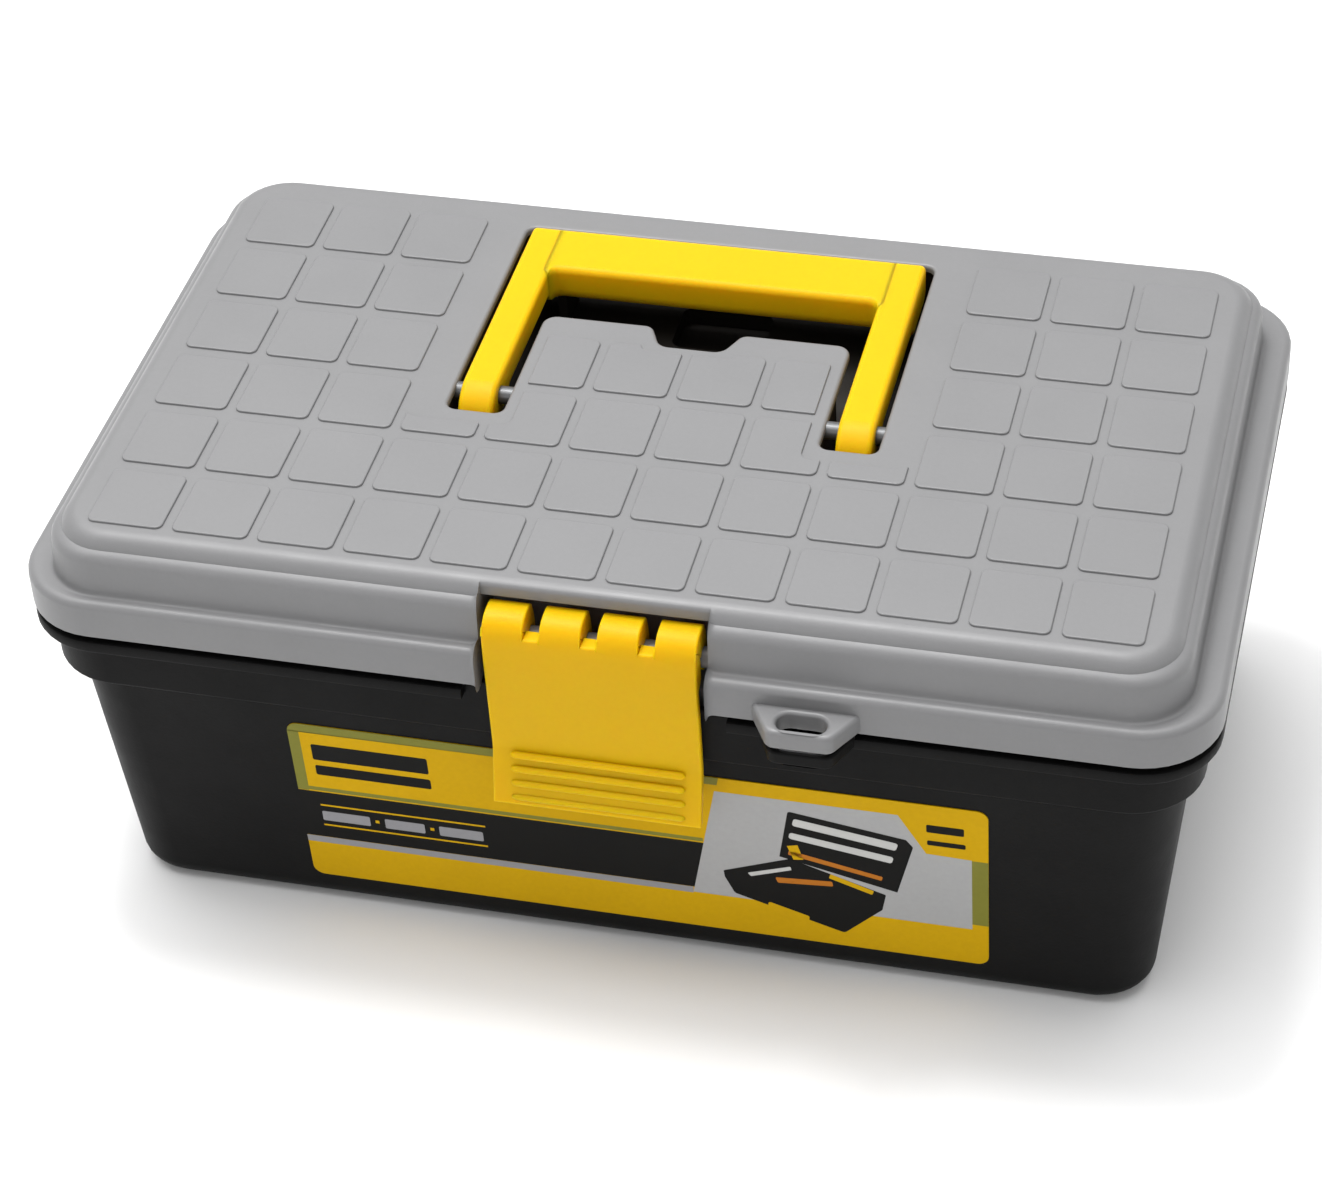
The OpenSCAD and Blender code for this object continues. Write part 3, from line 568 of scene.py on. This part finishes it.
def build_lid():
    b = Builder()
    flange = [(FLANGE_R * (1 - cosd(a)), FLANGE_TOP - FLANGE_R * (1 - sind(a)))
              for a in (0, 22.5, 45, 67.5, 90)]
    roll_w = (PLATEAU_INSET - CREASE_INSET) / cosd(ROLL_START)
    roll_h = (TOP_Z - CREASE_Z) / (1 - sind(ROLL_START))

    def roll(angles):
        return [(PLATEAU_INSET - roll_w * cosd(a), TOP_Z - roll_h * (1 - sind(a)), DOME_SETBACK)
                for a in angles]

    crown = roll((90, 81, 73, 66))
    side = roll((58, 50, 42, 34, 28, ROLL_START))
    side += [(CREASE_INSET - 0.15, CREASE_Z - 0.05, DOME_SETBACK)]
    side += [(SHOULDER_INSET - SHOULDER_R * cosd(a), CREASE_Z - SHOULDER_R * (1 - sind(a)), DOME_SETBACK)
             for a in (68, 56, 44, 32, 20, 10, 0)]
    side += [(DOME_INSET + out, FLANGE_TOP + up, DOME_SETBACK)
             for out, up in ((0.12, 2.0), (0.02, 0.8), (-0.4, 0.22), (-1.2, 0.0))]
    edge = [(0, LID_Z + 0.9), (0.26, LID_Z + 0.26), (0.9, LID_Z)]
    # Rows run from the flat top down the outside, under the edge and up the inside
    outside = crown + side + flange[::-1] + edge
    rim_inner = [(WALL - 0.6, LID_Z), (WALL - 0.15, LID_Z + 0.15), (WALL, LID_Z + 0.6),
                 (WALL, FLANGE_INNER_Z - 0.8), (WALL + 0.25, FLANGE_INNER_Z - 0.2),
                 (WALL + 0.9, FLANGE_INNER_Z), (7.9, FLANGE_INNER_Z, DOME_SETBACK),
                 (8.7, FLANGE_INNER_Z + 0.3, DOME_SETBACK), (9.05, FLANGE_INNER_Z + 1.1, DOME_SETBACK)]
    rim_inner += [(INNER_TOP_INSET - INNER_R * cosd(a),
                   CEILING_Z - INNER_R * (1 - sind(a)), DOME_SETBACK)
                  for a in (0, 18, 36, 54, 72, 90)]
    skirt_in = [(14.1 - 0.5, LIP_Z), (14.1, LIP_Z + 0.5), (14.1, LID_Z + 0.6), (26.4, PIN_Z - 8),
                (26.4, CEILING_Z - 0.8), (26.65, CEILING_Z - 0.2), (27.2, CEILING_Z)]
    behind = [(NOTCH_INSET - 0.6, LID_Z), (NOTCH_INSET, LID_Z - 0.6), (NOTCH_INSET, LIP_Z + 0.5),
              (NOTCH_INSET + 0.5, LIP_Z)]
    notch = [(11.95, 161.15), (11.65, 160.6), (11.52, 159.95), (NOTCH_INSET, 157.2),
             (NOTCH_INSET, POCKET_TOP + 0.6), (NOTCH_INSET + 0.6, POCKET_TOP), (POCKET_BACK, POCKET_TOP),
             (POCKET_BACK, PIN_Z - 7), (NOTCH_INSET, LID_Z + 1), (NOTCH_INSET, LIP_Z + 0.5),
             (NOTCH_INSET + 0.5, LIP_Z)]
    # A: plain rim, B: notch of the latch, C: skirt beside the notch
    chains = {"A": outside + rim_inner, "B": crown + notch + skirt_in,
              "C": outside + behind + skirt_in}
    round_r = 2.2
    xs = [(-150, "A", 0), (-90, "A", 0), (-BLOCK_HALF, "A", 0), (-BLOCK_HALF, "C", 0)]
    thetas = (90, 67.5, 45, 22.5, 0)
    xs += [(-(NOTCH_HALF + round_r * (1 - cosd(t))), "C", 1 - sind(t)) for t in thetas]
    xs += [(-NOTCH_HALF, "B", 0), (-20, "B", 0)]
    xs += [(-x, k, w) for x, k, w in reversed(xs)]
    cols = ring_columns([x for x, _, _ in xs])
    data = xs + [(0, "A", 0)] * (len(cols) - len(xs))
    first, last = len(crown) - 1, len(outside) - 1
    columns = []
    for col, (_, kind, sink) in zip(cols, data):
        chain = chains[kind]
        if sink:
            moved = []
            for i, p in enumerate(chain):
                # Fades out at the top of the notch, where its side wall ends
                fade = 0 if i < first else min(1.0, (i - first) / 4) if i <= last else 0
                n = -inward(chain, i)
                depth = round_r * sink * fade
                inset = p[0] - n.x * depth
                if FLANGE_TOP < p[1]:
                    inset = max(p[0], min(inset, NOTCH_INSET - 0.1))
                moved.append((inset, p[1] - n.y * depth, *p[2:]))
            chain = moved
        columns.append((raise_column(col, chain), kind))
    join_columns(b, columns)
    # Flat top and ceiling, joined by the opening's rounded lip
    opening = opening_loop()
    lip_r = 1.3
    top_loop = offset(opening, lip_r)
    b.fill([loop_of([pts[0] for pts, _ in columns]), top_loop], lambda p: (p.x, p.y, TOP_Z))
    rings = []
    for k in range(5):
        t = math.pi / 2 * k / 4
        rings.append([(p.x, p.y, TOP_Z - lip_r * (1 - math.cos(t)))
                      for p in offset(opening, lip_r * (1 - math.sin(t)))])
    rings.append([(p.x, p.y, CEILING_Z) for p in opening])
    for one, two in zip(rings, rings[1:]):
        b.strip(one, two)
    b.fill([loop_of([pts[-1] for pts, _ in columns]), opening], lambda p: (p.x, p.y, CEILING_Z))
    # Padlock lug
    b.plate(eye_outline(17.9, 10.4, -HALF_Y - 12.5), [eye_slot()], LID_Z + 0.5, LID_Z + 8,
            1.6, 1.6, steps=4, hole_r=1.4)
    # Hinge knuckles with their webs, and screw bosses
    web = rounded([(HALF_Y - 2, LID_Z, 0), (HALF_Y - 2, FLANGE_TOP - 5, 0), (HALF_Y - 0.2, FLANGE_TOP - 5, 0),
                   (HINGE_Y + KNUCKLE_R - 0.3, HINGE_Z + 0.8, 2), (HINGE_Y, HINGE_Z, 0),
                   (HINGE_Y - 3.2, HINGE_Z + 2.2, 0)])
    for side in (-1, 1):
        x = side * HINGE_X
        b.plate(circle(HINGE_Y, HINGE_Z, KNUCKLE_R), [circle(HINGE_Y, HINGE_Z, HINGE_BORE_R, 20)],
                x - LID_KNUCKLE, x + LID_KNUCKLE, 0.5, 0.5, along_x, hole_r=0.2)
        b.plate(web, [], x - LID_KNUCKLE + 0.3, x + LID_KNUCKLE - 0.3, 0.4, 0.4, along_x)
        for y in SCREW_ROWS:
            b.plate(circle(side * SCREW_X, y, 4, 24), [], WELL_FLOOR_Z, CEILING_Z + 0.5, 0.4, 0.0)
    return b.make("lid_shell_moulding", GREY, "lid", ["lid_shell"])


def build_tiles():
    b = Builder()
    for column in range(TILE_COLUMNS):
        for row in range(TILE_ROWS):
            x, y = (column - (TILE_COLUMNS - 1) / 2) * TILE_PITCH_X, TILE_BACK_Y - row * TILE_PITCH_Y
            if row < 2 and abs(x) < CLEAR_HALF:
                continue
            outline = box_outline(x - TILE_X, x + TILE_X, y - TILE_Y, y + TILE_Y, TILE_R, 4)
            b.plate(outline, [], TOP_Z - 0.4, TILE_TOP, 0, 0)
    tiles = b.make("lid_tiles", GREY, "lid")
    # Clear the strip round the handle
    c = Builder()
    m, f, h = CLEAR_MARGIN, CLEAR_FRONT, CLEAR_HALF
    x, _, deep = tongue(m)
    back = TONGUE_BACK - NOTCH_DEPTH
    low = NOTCH_FLOOR + m
    mouth = low + (NOTCH_MOUTH - NOTCH_FLOOR) * (back - deep) / NOTCH_DEPTH
    c.plate(rounded([(-h, f, 6), (-x, f, 3.4), (-x, back, 3), (-mouth, back, 0), (-low, deep, 2),
                     (low, deep, 2), (mouth, back, 0), (x, back, 3), (x, f, 3.4), (h, f, 6),
                     (h, CLEAR_BACK, 6), (-h, CLEAR_BACK, 6)], 5),
            [], TOP_Z - 3, TILE_TOP + 3, 0, 0)
    cut_away(tiles, c.make("tile_cutter", GREY, "lid"))
    bm = bmesh.new()
    bm.from_mesh(tiles.data)
    bmesh.ops.remove_doubles(bm, verts=bm.verts, dist=1e-5)
    bmesh.ops.dissolve_limit(bm, angle_limit=math.radians(1), verts=bm.verts, edges=bm.edges)
    for f in bm.faces:
        f.smooth = True
    bm.to_mesh(tiles.data)
    bm.free()
    mod = tiles.modifiers.new("edges", "BEVEL")
    mod.width, mod.segments = TILE_EDGE * MM, 3
    mod.limit_method, mod.angle_limit = "ANGLE", math.radians(50)
    weigh_normals(tiles)
    return tiles


# ---------------------------------------------------------------- handle

def build_handle():
    b = Builder()
    top = HANDLE_TOP
    nose = [(NOSE_Y + NOSE_R * cosd(a), top - NOSE_R + NOSE_R * sind(a), 0)
            for a in range(96, 181, 7)]
    leg = rounded([(BAR_BACK, top, 2.5)] + nose +
                  [(NOSE_Y - NOSE_R + 0.6, top - 15, 1.2), (NOSE_Y + 5, top - 15, 4),
                   (NOSE_Y + 12, LEG_UNDER, 4), (BAR_FRONT - 4, LEG_UNDER, 3), (BAR_FRONT + 1, BAR_UNDER, 3),
                   (BAR_BACK, BAR_UNDER, 5.5)], 6)
    bore = circle(NOSE_Y, HANDLE_PIN_Z, HANDLE_BORE_R, 24)
    for side in (-1, 1):
        a, c = sorted((side * HANDLE_IN, side * HANDLE_OUT))
        b.plate(leg, [bore], a, c, LEG_EDGE, LEG_EDGE, along_x, steps=5, hole_r=0.3)
    # Grip bar: its front face curves into the legs
    sections = [0.0, 30.0]
    sections += [HANDLE_IN - FLARE_R * (1 - sind(a)) for a in range(0, 91, 15)]
    sections += [HANDLE_IN + LEG_EDGE]
    xs = sorted({-x for x in sections} | set(sections))
    rings = []
    for x in xs:
        over = max(0.0, abs(x) - (HANDLE_IN - FLARE_R))
        flare = FLARE_R - math.sqrt(max(0.0, FLARE_R ** 2 - min(over, FLARE_R) ** 2))
        front = BAR_FRONT - min(flare, FLARE_MAX)
        outline = rounded([(front, top, 2.5), (BAR_BACK, top, 2.5), (BAR_BACK, BAR_UNDER, 5.5),
                           (front, BAR_UNDER, 5.5)], 8)
        rings.append([(x, p.x, p.y) for p in outline])
    for one, two in zip(rings, rings[1:]):
        b.strip(one, two)
    for ring in (rings[0], rings[-1]):
        b.face(ring)
    return b.make("carry_handle_moulding", YELLOW, "handle", ["carry_handle"])


# ---------------------------------------------------------------- latch

def build_latch():
    b = Builder()
    f = LATCH_FRONT

    def turn(a):
        """Point of the bore, at an angle from straight back."""
        return (PIN_Y + LATCH_BORE_R * cosd(a), PIN_Z + LATCH_BORE_R * sind(a))

    # Outer and inner line of the moulding, from its lower edge over the rod
    pairs = [((f - 3.2, LATCH_LOW), (f - 0.4, LATCH_LOW)),
             ((f - 1.1, 90.2), (f + 1.9, 89.6)),
             ((f + 0.35, 97.2), (f + 3.5, 95.6)),
             ((f + 0.95, 99.6), (f + 4.0, 98.2)),
             ((f + 1.2, 102.2), (f + 4.25, 101.2)),
             ((f + 0.98, 110), (f + 4.1, 110)),
             ((f + 0.6, 121), (f + 3.7, 121)),
             ((f + 0.22, 131.5), (f + 3.3, 131.5)),
             ((f + 0.05, 135.0), (f + 3.2, 134.5)),
             ((f, 138.2), (f + 7.0, 137.2)),
             ((f, 143.5), turn(178)),
             ((f, 146.6), turn(168)),
             ((f + 0.5, 149.4), (f + 5.8, 149.2)),
             ((f + 1.5, 151.6), turn(150)),
             ((f + 3.1, 153.4), turn(128)),
             ((f + 5.2, 154.6), turn(108)),
             ((f + 7.6, 155.0), turn(95)),
             ((f + 10.6, 155.0), turn(78)),
             ((f + 12.6, 154.7), turn(65)),
             ((f + 14.3, 153.4), turn(50)),
             ((f + 15.4, 150.0), turn(30)),
             ((f + 16.2, 145.6), turn(8)),
             ((f + 16.0, 142.0), turn(-15)),
             ((f + 14.2, 138.8), turn(-45)),
             ((f + 11.2, 136.4), turn(-80))]
    # The gaps between the knuckles start at this row
    gap_row = 12
    gap, count = LATCH_GAP, LATCH_KNUCKLES
    pitch = (2 * LATCH_HALF + gap) / count
    us, solid_column = [-LATCH_HALF], []
    for i in range(count):
        start = -LATCH_HALF + i * pitch
        us += [start + (pitch - gap) / 2, start + pitch - gap]
        solid_column += [True, True]
        if i < count - 1:
            us.append(start + pitch)
            solid_column.append(False)

    def place(u, v, w):
        j = int(round(v))
        (y0, z0), (y1, z1) = pairs[j]
        return (u, y0 + (y1 - y0) * w, z0 + (z1 - z0) * w)

    b.block_cells(us, list(range(len(pairs))), [0, 1], lambda i, j, k: j < gap_row or solid_column[i], place)
    latch = b.make("front_latch_moulding", YELLOW, "latch", ["front_latch"],
                   bevel=(0.9, 3, 42))
    # Grip ribs and the hook behind
    g = Builder()
    stations = [(-29.0, 0.05), (-28.8, 0.6), (-28.2, 1.0), (-27.4, 1.25), (28.4, 1.25), (29.2, 1.0),
                (29.8, 0.6), (30.0, 0.05)]
    for i in range(GRIP_RIBS):
        y, z = f + 0.1 - 0.78 * i, 99.5 - 5.5 * i
        rings = [[(x, p.x, p.y) for p in circle(y, z, r, 16)] for x, r in stations]
        for one, two in zip(rings, rings[1:]):
            g.strip(one, two)
        g.face(rings[0])
        g.face(rings[-1])
    hook = rounded([(f + 2.2, 93.0, 0), (-HALF_Y + BAND_INSET - 0.4, 97.0, 0.8),
                    (-HALF_Y + BAND_INSET - 0.4, 101.0, 0.8), (f + 2.2, 104.0, 0)], 3)
    g.plate(hook, [], -LATCH_HALF + 3, LATCH_HALF - 3, 0.4, 0.4, along_x)
    ribs = g.make("latch_grip_ribs", YELLOW, "latch")
    return latch, ribs


# ---------------------------------------------------------------- tray

def build_tray():
    b = Builder()
    chain = [(19.7, TRAY_LOW), (18.3, TRAY_LOW + 0.5), (17.6, TRAY_LOW + 2.0), (15.35, 104.0), (15.0, 104.6),
             (14.4, 104.8), (9.0, 104.8), (8.55, 104.95), (8.4, 105.3), (8.4, 106.3), (8.6, 106.8),
             (9.1, TRAY_TOP)]
    cols = ring_columns([-150, -75, 0, 75, 150])
    columns = [(raise_column(c, chain), "A") for c in cols]
    join_columns(b, columns)
    b.fill([loop_of([pts[0] for pts, _ in columns])], lambda p: (p.x, p.y, TRAY_LOW))
    end_x, end_y, spine, wall = TRAY_X, TRAY_Y, TRAY_SPINE, TRAY_WALL
    third = 2 * end_x / 3
    cells = []
    for i in range(3):
        x0 = -end_x + i * third + (wall / 2 if i else 0)
        x1 = -end_x + (i + 1) * third - (wall / 2 if i < 2 else 0)
        cells.append((x0, x1, -end_y, -spine))
    cells += [(-end_x, third / 2, spine, end_y), (third / 2 + wall, end_x, spine, end_y)]
    outlines = [box_outline(*cell, 7, 8) for cell in cells]
    edge, low = TRAY_EDGE, TRAY_ROUND
    b.fill([loop_of([pts[-1] for pts, _ in columns])] + [offset(o, edge) for o in outlines],
           lambda p: (p.x, p.y, TRAY_TOP))
    for outline in outlines:
        rings = []
        for a in (0, 30, 60, 90):
            t = math.radians(a)
            rings.append([(p.x, p.y, TRAY_TOP - edge * (1 - math.cos(t)))
                          for p in offset(outline, edge * (1 - math.sin(t)))])
        for a in (0, 22.5, 45, 67.5, 90):
            t = math.radians(a)
            rings.append([(p.x, p.y, TRAY_FLOOR + low * (1 - math.sin(t)))
                          for p in offset(outline, -low * (1 - math.cos(t)))])
        for one, two in zip(rings, rings[1:]):
            b.strip(one, two)
        b.fill([offset(outline, -low)], lambda p: (p.x, p.y, TRAY_FLOOR))
    tray = b.make("tray_moulding", TRAY_GREY, "tray", ["lift_out_tray"])
    c = Builder()
    c.plate(box_outline(-50, 50, 83, 106, 6, 6), [], -spine - 2, spine + 2, 0, 0, lambda u, v, w: (u, w, v))
    cut_away(tray, c.make("tray_cutter", TRAY_GREY, "tray"))
    weigh_normals(tray)
    g = Builder()
    g.plate(box_outline(-62, 62, -spine, spine, spine - 0.05, 10), [], TRAY_TOP - 1, GRIP_TOP,
            0.2, 3.0, steps=5)
    grip = g.make("tray_grip", TRAY_GREY, "tray")
    return tray, grip


# ---------------------------------------------------------------- label

LABEL_L, LABEL_R, LABEL_LOW, LABEL_HIGH, FILM = -111.5, 127.5, 13.4, 90.0, 0.40
DRAFT = math.atan((FOOT_INSET - WALL_INSET) / BAND_Z)


def on_wall(u, v, w):
    """u along the box, v up the sloping wall, w out of it."""
    return (u, -HALF_Y + FOOT_INSET - v * math.sin(DRAFT) - w * math.cos(DRAFT),
            v * math.cos(DRAFT) - w * math.sin(DRAFT))


def build_label():
    film = Builder()
    film.plate(box_outline(LABEL_L, LABEL_R, LABEL_LOW, LABEL_HIGH, 4, 6), [], 0.02, FILM, 0.0, 0.12, on_wall)
    film.make("label_film", INK_YELLOW, "tub", ["front_label"])

    def print_shapes(name, ink, shapes, height):
        """Shapes in one ink, standing out of the film by their height so that the later ones cover."""
        p = Builder()
        for shape in shapes:
            p.plate(rounded(shape, 5), [], FILM - 0.04, FILM + height, 0, 0, on_wall)
        p.make(name, ink, "tub")

    def bar(x0, x1, y0, y1, r=0.0):
        return [(x0, y0, r), (x1, y0, r), (x1, y1, r), (x0, y1, r)]

    # Areas: olive edge, black band with a slanted end, grey line, picture panel on the right
    slant, panel_low, panel_right = 26.2, 31.0, 122.0
    print_shapes("label_print_olive", INK_OLIVE, [
        [(LABEL_L, 86.5, 0), (37.2, 86.5, 0), (37.9, LABEL_HIGH, 0), (LABEL_L, LABEL_HIGH, 4)],
        bar(LABEL_L, LABEL_L + 4, 57, 86.5),
        bar(LABEL_L + 4, 31, 57.4, 59.2),
        bar(LABEL_R - 5.5, LABEL_R, 33.5, 65.5)], 0.012)
    print_shapes("label_print_black", INK_BLACK, [
        [(LABEL_L, 33.6, 0), (slant + 1, 33.6, 0), (32, 56.8, 0), (LABEL_L, 56.8, 0)],
        bar(-104, -63, 73, 80.7, 0.8),
        bar(-103.7, -62.8, 65.6, 70.4, 0.8)], 0.016)
    print_shapes("label_print_line", INK_LINE, [bar(LABEL_L, slant, 30.5, 33.5)], 0.02)
    print_shapes("label_print_panel", INK_GREY, [
        [(slant, panel_low, 0), (panel_right, panel_low, 0), (panel_right, 65.7, 0), (106.8, 66.2, 0),
         (97.6, 83.4, 0), (36.2, 83.4, 0)]], 0.024)
    # Plain bars where the real label has words
    print_shapes("label_bars_yellow", INK_YELLOW, [
        bar(-104.4, -45.6, 49.7, 50.5), bar(-104.4, -45.6, 39.6, 40.4),
        bar(-85.3, -83.9, 44.3, 45.7), bar(-65.6, -64.2, 44.3, 45.7)], 0.03)
    print_shapes("label_bars_grey", INK_LINE, [
        bar(-104.3, -87.2, 42.3, 47, 0.6), bar(-81.8, -67.6, 42.3, 47, 0.6),
        bar(-62.4, -46.8, 42.3, 47, 0.6)], 0.03)
    print_shapes("label_bars_black", INK_BLACK, [
        bar(107, 119.5, 76.9, 80.6, 0.6), bar(107.2, 120, 70.7, 73, 0.6)], 0.03)
    # Generic picture of an open box with tools in it
    print_shapes("label_picture_black", INK_BLACK, [
        [(60.7, 78.2, 1), (100.2, 71.7, 1), (102.5, 68.4, 1), (96.8, 44.7, 0), (57, 55.1, 0)],
        [(37.3, 44.2, 0.6), (60.6, 54.6, 0), (92.9, 42.6, 0.6), (91.5, 34.7, 1), (78.2, 20.2, 1.5),
         (40.7, 33.3, 1.5), (37.6, 41.1, 0)]], 0.034)
    print_shapes("label_picture_white", INK_WHITE, [
        [(62.6, 74.9, 1), (97.6, 69.2, 1), (96.6, 65.6, 1), (61.8, 71.4, 1)],
        [(61.0, 67.8, 1), (95.9, 62.2, 1), (95.2, 59.0, 1), (60.4, 64.8, 1)],
        [(45.6, 44.6, 0.4), (60.6, 50.6, 0.4), (60.9, 48.9, 0.4), (46.8, 43.1, 0.4)]], 0.044)
    print_shapes("label_picture_orange", INK_ORANGE, [
        [(60.4, 58.8, 0.5), (92.0, 51.6, 0.5), (91.6, 49.6, 0.5), (60.0, 56.6, 0.5)],
        [(55.0, 44.2, 0.6), (74.6, 45.8, 0.6), (75.0, 43.4, 0.6), (56.0, 41.6, 0.6)]], 0.044)
    print_shapes("label_picture_yellow", INK_YELLOW, [
        [(59.8, 60.9, 0), (63.4, 62.0, 0), (65.2, 55.0, 0), (61.8, 54.4, 0)],
        [(74.2, 49.6, 0.4), (88.8, 43.8, 0.4), (88.2, 41.8, 0.4), (73.6, 47.4, 0.4)],
        [(52.2, 31.2, 0.8), (66.2, 26.3, 0.8), (66.0, 22.9, 0.8), (52.0, 27.8, 0.8)]], 0.044)


build_tub()
build_tub_lug()
build_lid()
build_tiles()
build_handle()
build_latch()
build_tray()
build_label()

for node, finish in (("handle_well", WELL_BLACK), ("well_screws", STEEL), ("latch_rod", ROD_GREY),
                     ("handle_pin_left", DARK_STEEL), ("handle_pin_right", DARK_STEEL),
                     ("hinge_pin_left", STEEL), ("hinge_pin_right", STEEL)):
    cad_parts[node].data.materials.clear()
    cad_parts[node].data.materials.append(finish)


# ---------------------------------------------------------------- stage

floor_mesh = bpy.data.meshes.new("floor")
span = 6.0
floor_mesh.from_pydata([(-span, -span, 0), (span, -span, 0), (span, span, 0), (-span, span, 0)], [],
                       [(0, 1, 2, 3)])
floor = bpy.data.objects.new("floor", floor_mesh)
bpy.context.scene.collection.objects.link(floor)
paper = bpy.data.materials.new("white_paper")
paper.use_nodes = True
paper.node_tree.nodes["Principled BSDF"].inputs["Base Color"].default_value = (0.80, 0.80, 0.80, 1)
paper.node_tree.nodes["Principled BSDF"].inputs["Roughness"].default_value = 0.9
floor_mesh.materials.append(paper)

world = bpy.data.worlds.new("studio")
world.use_nodes = True
world.node_tree.nodes["Background"].inputs["Color"].default_value = (1, 1, 1, 1)
world.node_tree.nodes["Background"].inputs["Strength"].default_value = 0.66
bpy.context.scene.world = world
bpy.context.scene.view_settings.view_transform = "Standard"


def area_light(name, place, aim, size, power):
    data = bpy.data.lights.new(name, "AREA")
    data.shape, data.size, data.energy = "DISK", size, power
    lamp = bpy.data.objects.new(name, data)
    bpy.context.scene.collection.objects.link(lamp)
    lamp.location = place
    lamp.rotation_mode = "QUATERNION"
    lamp.rotation_quaternion = (Vector(aim) - Vector(place)).to_track_quat("-Z", "Y")
    return lamp


area_light("key", (-0.5, 0.45, 3.1), (0, 0, 0.1), 4.0, 142)
area_light("spark", (-0.45, 0.35, 2.6), (0, 0, 0.1), 0.5, 24)
area_light("front", (-0.9, -3.0, 1.2), (0, 0, 0.1), 1.6, 6)

# ---------------------------------------------------------------- camera

AZIMUTH, ELEVATION, ROLL = 15.66, 39.84, 3.37
AIM, DISTANCE, LENS = Vector((4.9, -47.2, 112.3)) * MM, 1247.5 * MM, 100.39
camera_data = bpy.data.cameras.new("camera")
camera_data.lens, camera_data.sensor_width = LENS, 36.0
camera = bpy.data.objects.new("camera", camera_data)
bpy.context.scene.collection.objects.link(camera)
az, el, roll = (math.radians(a) for a in (AZIMUTH, ELEVATION, ROLL))
back = Vector((math.sin(az) * math.cos(el), -math.cos(az) * math.cos(el), math.sin(el)))
level = Vector((math.cos(az), math.sin(az), 0))
upward = back.cross(level)
right = level * math.cos(roll) - upward * math.sin(roll)
up = back.cross(right)
camera.matrix_world = Matrix((
    (right.x, up.x, back.x, AIM.x + back.x * DISTANCE),
    (right.y, up.y, back.y, AIM.y + back.y * DISTANCE),
    (right.z, up.z, back.z, AIM.z + back.z * DISTANCE),
    (0, 0, 0, 1)))
bpy.context.scene.camera = camera
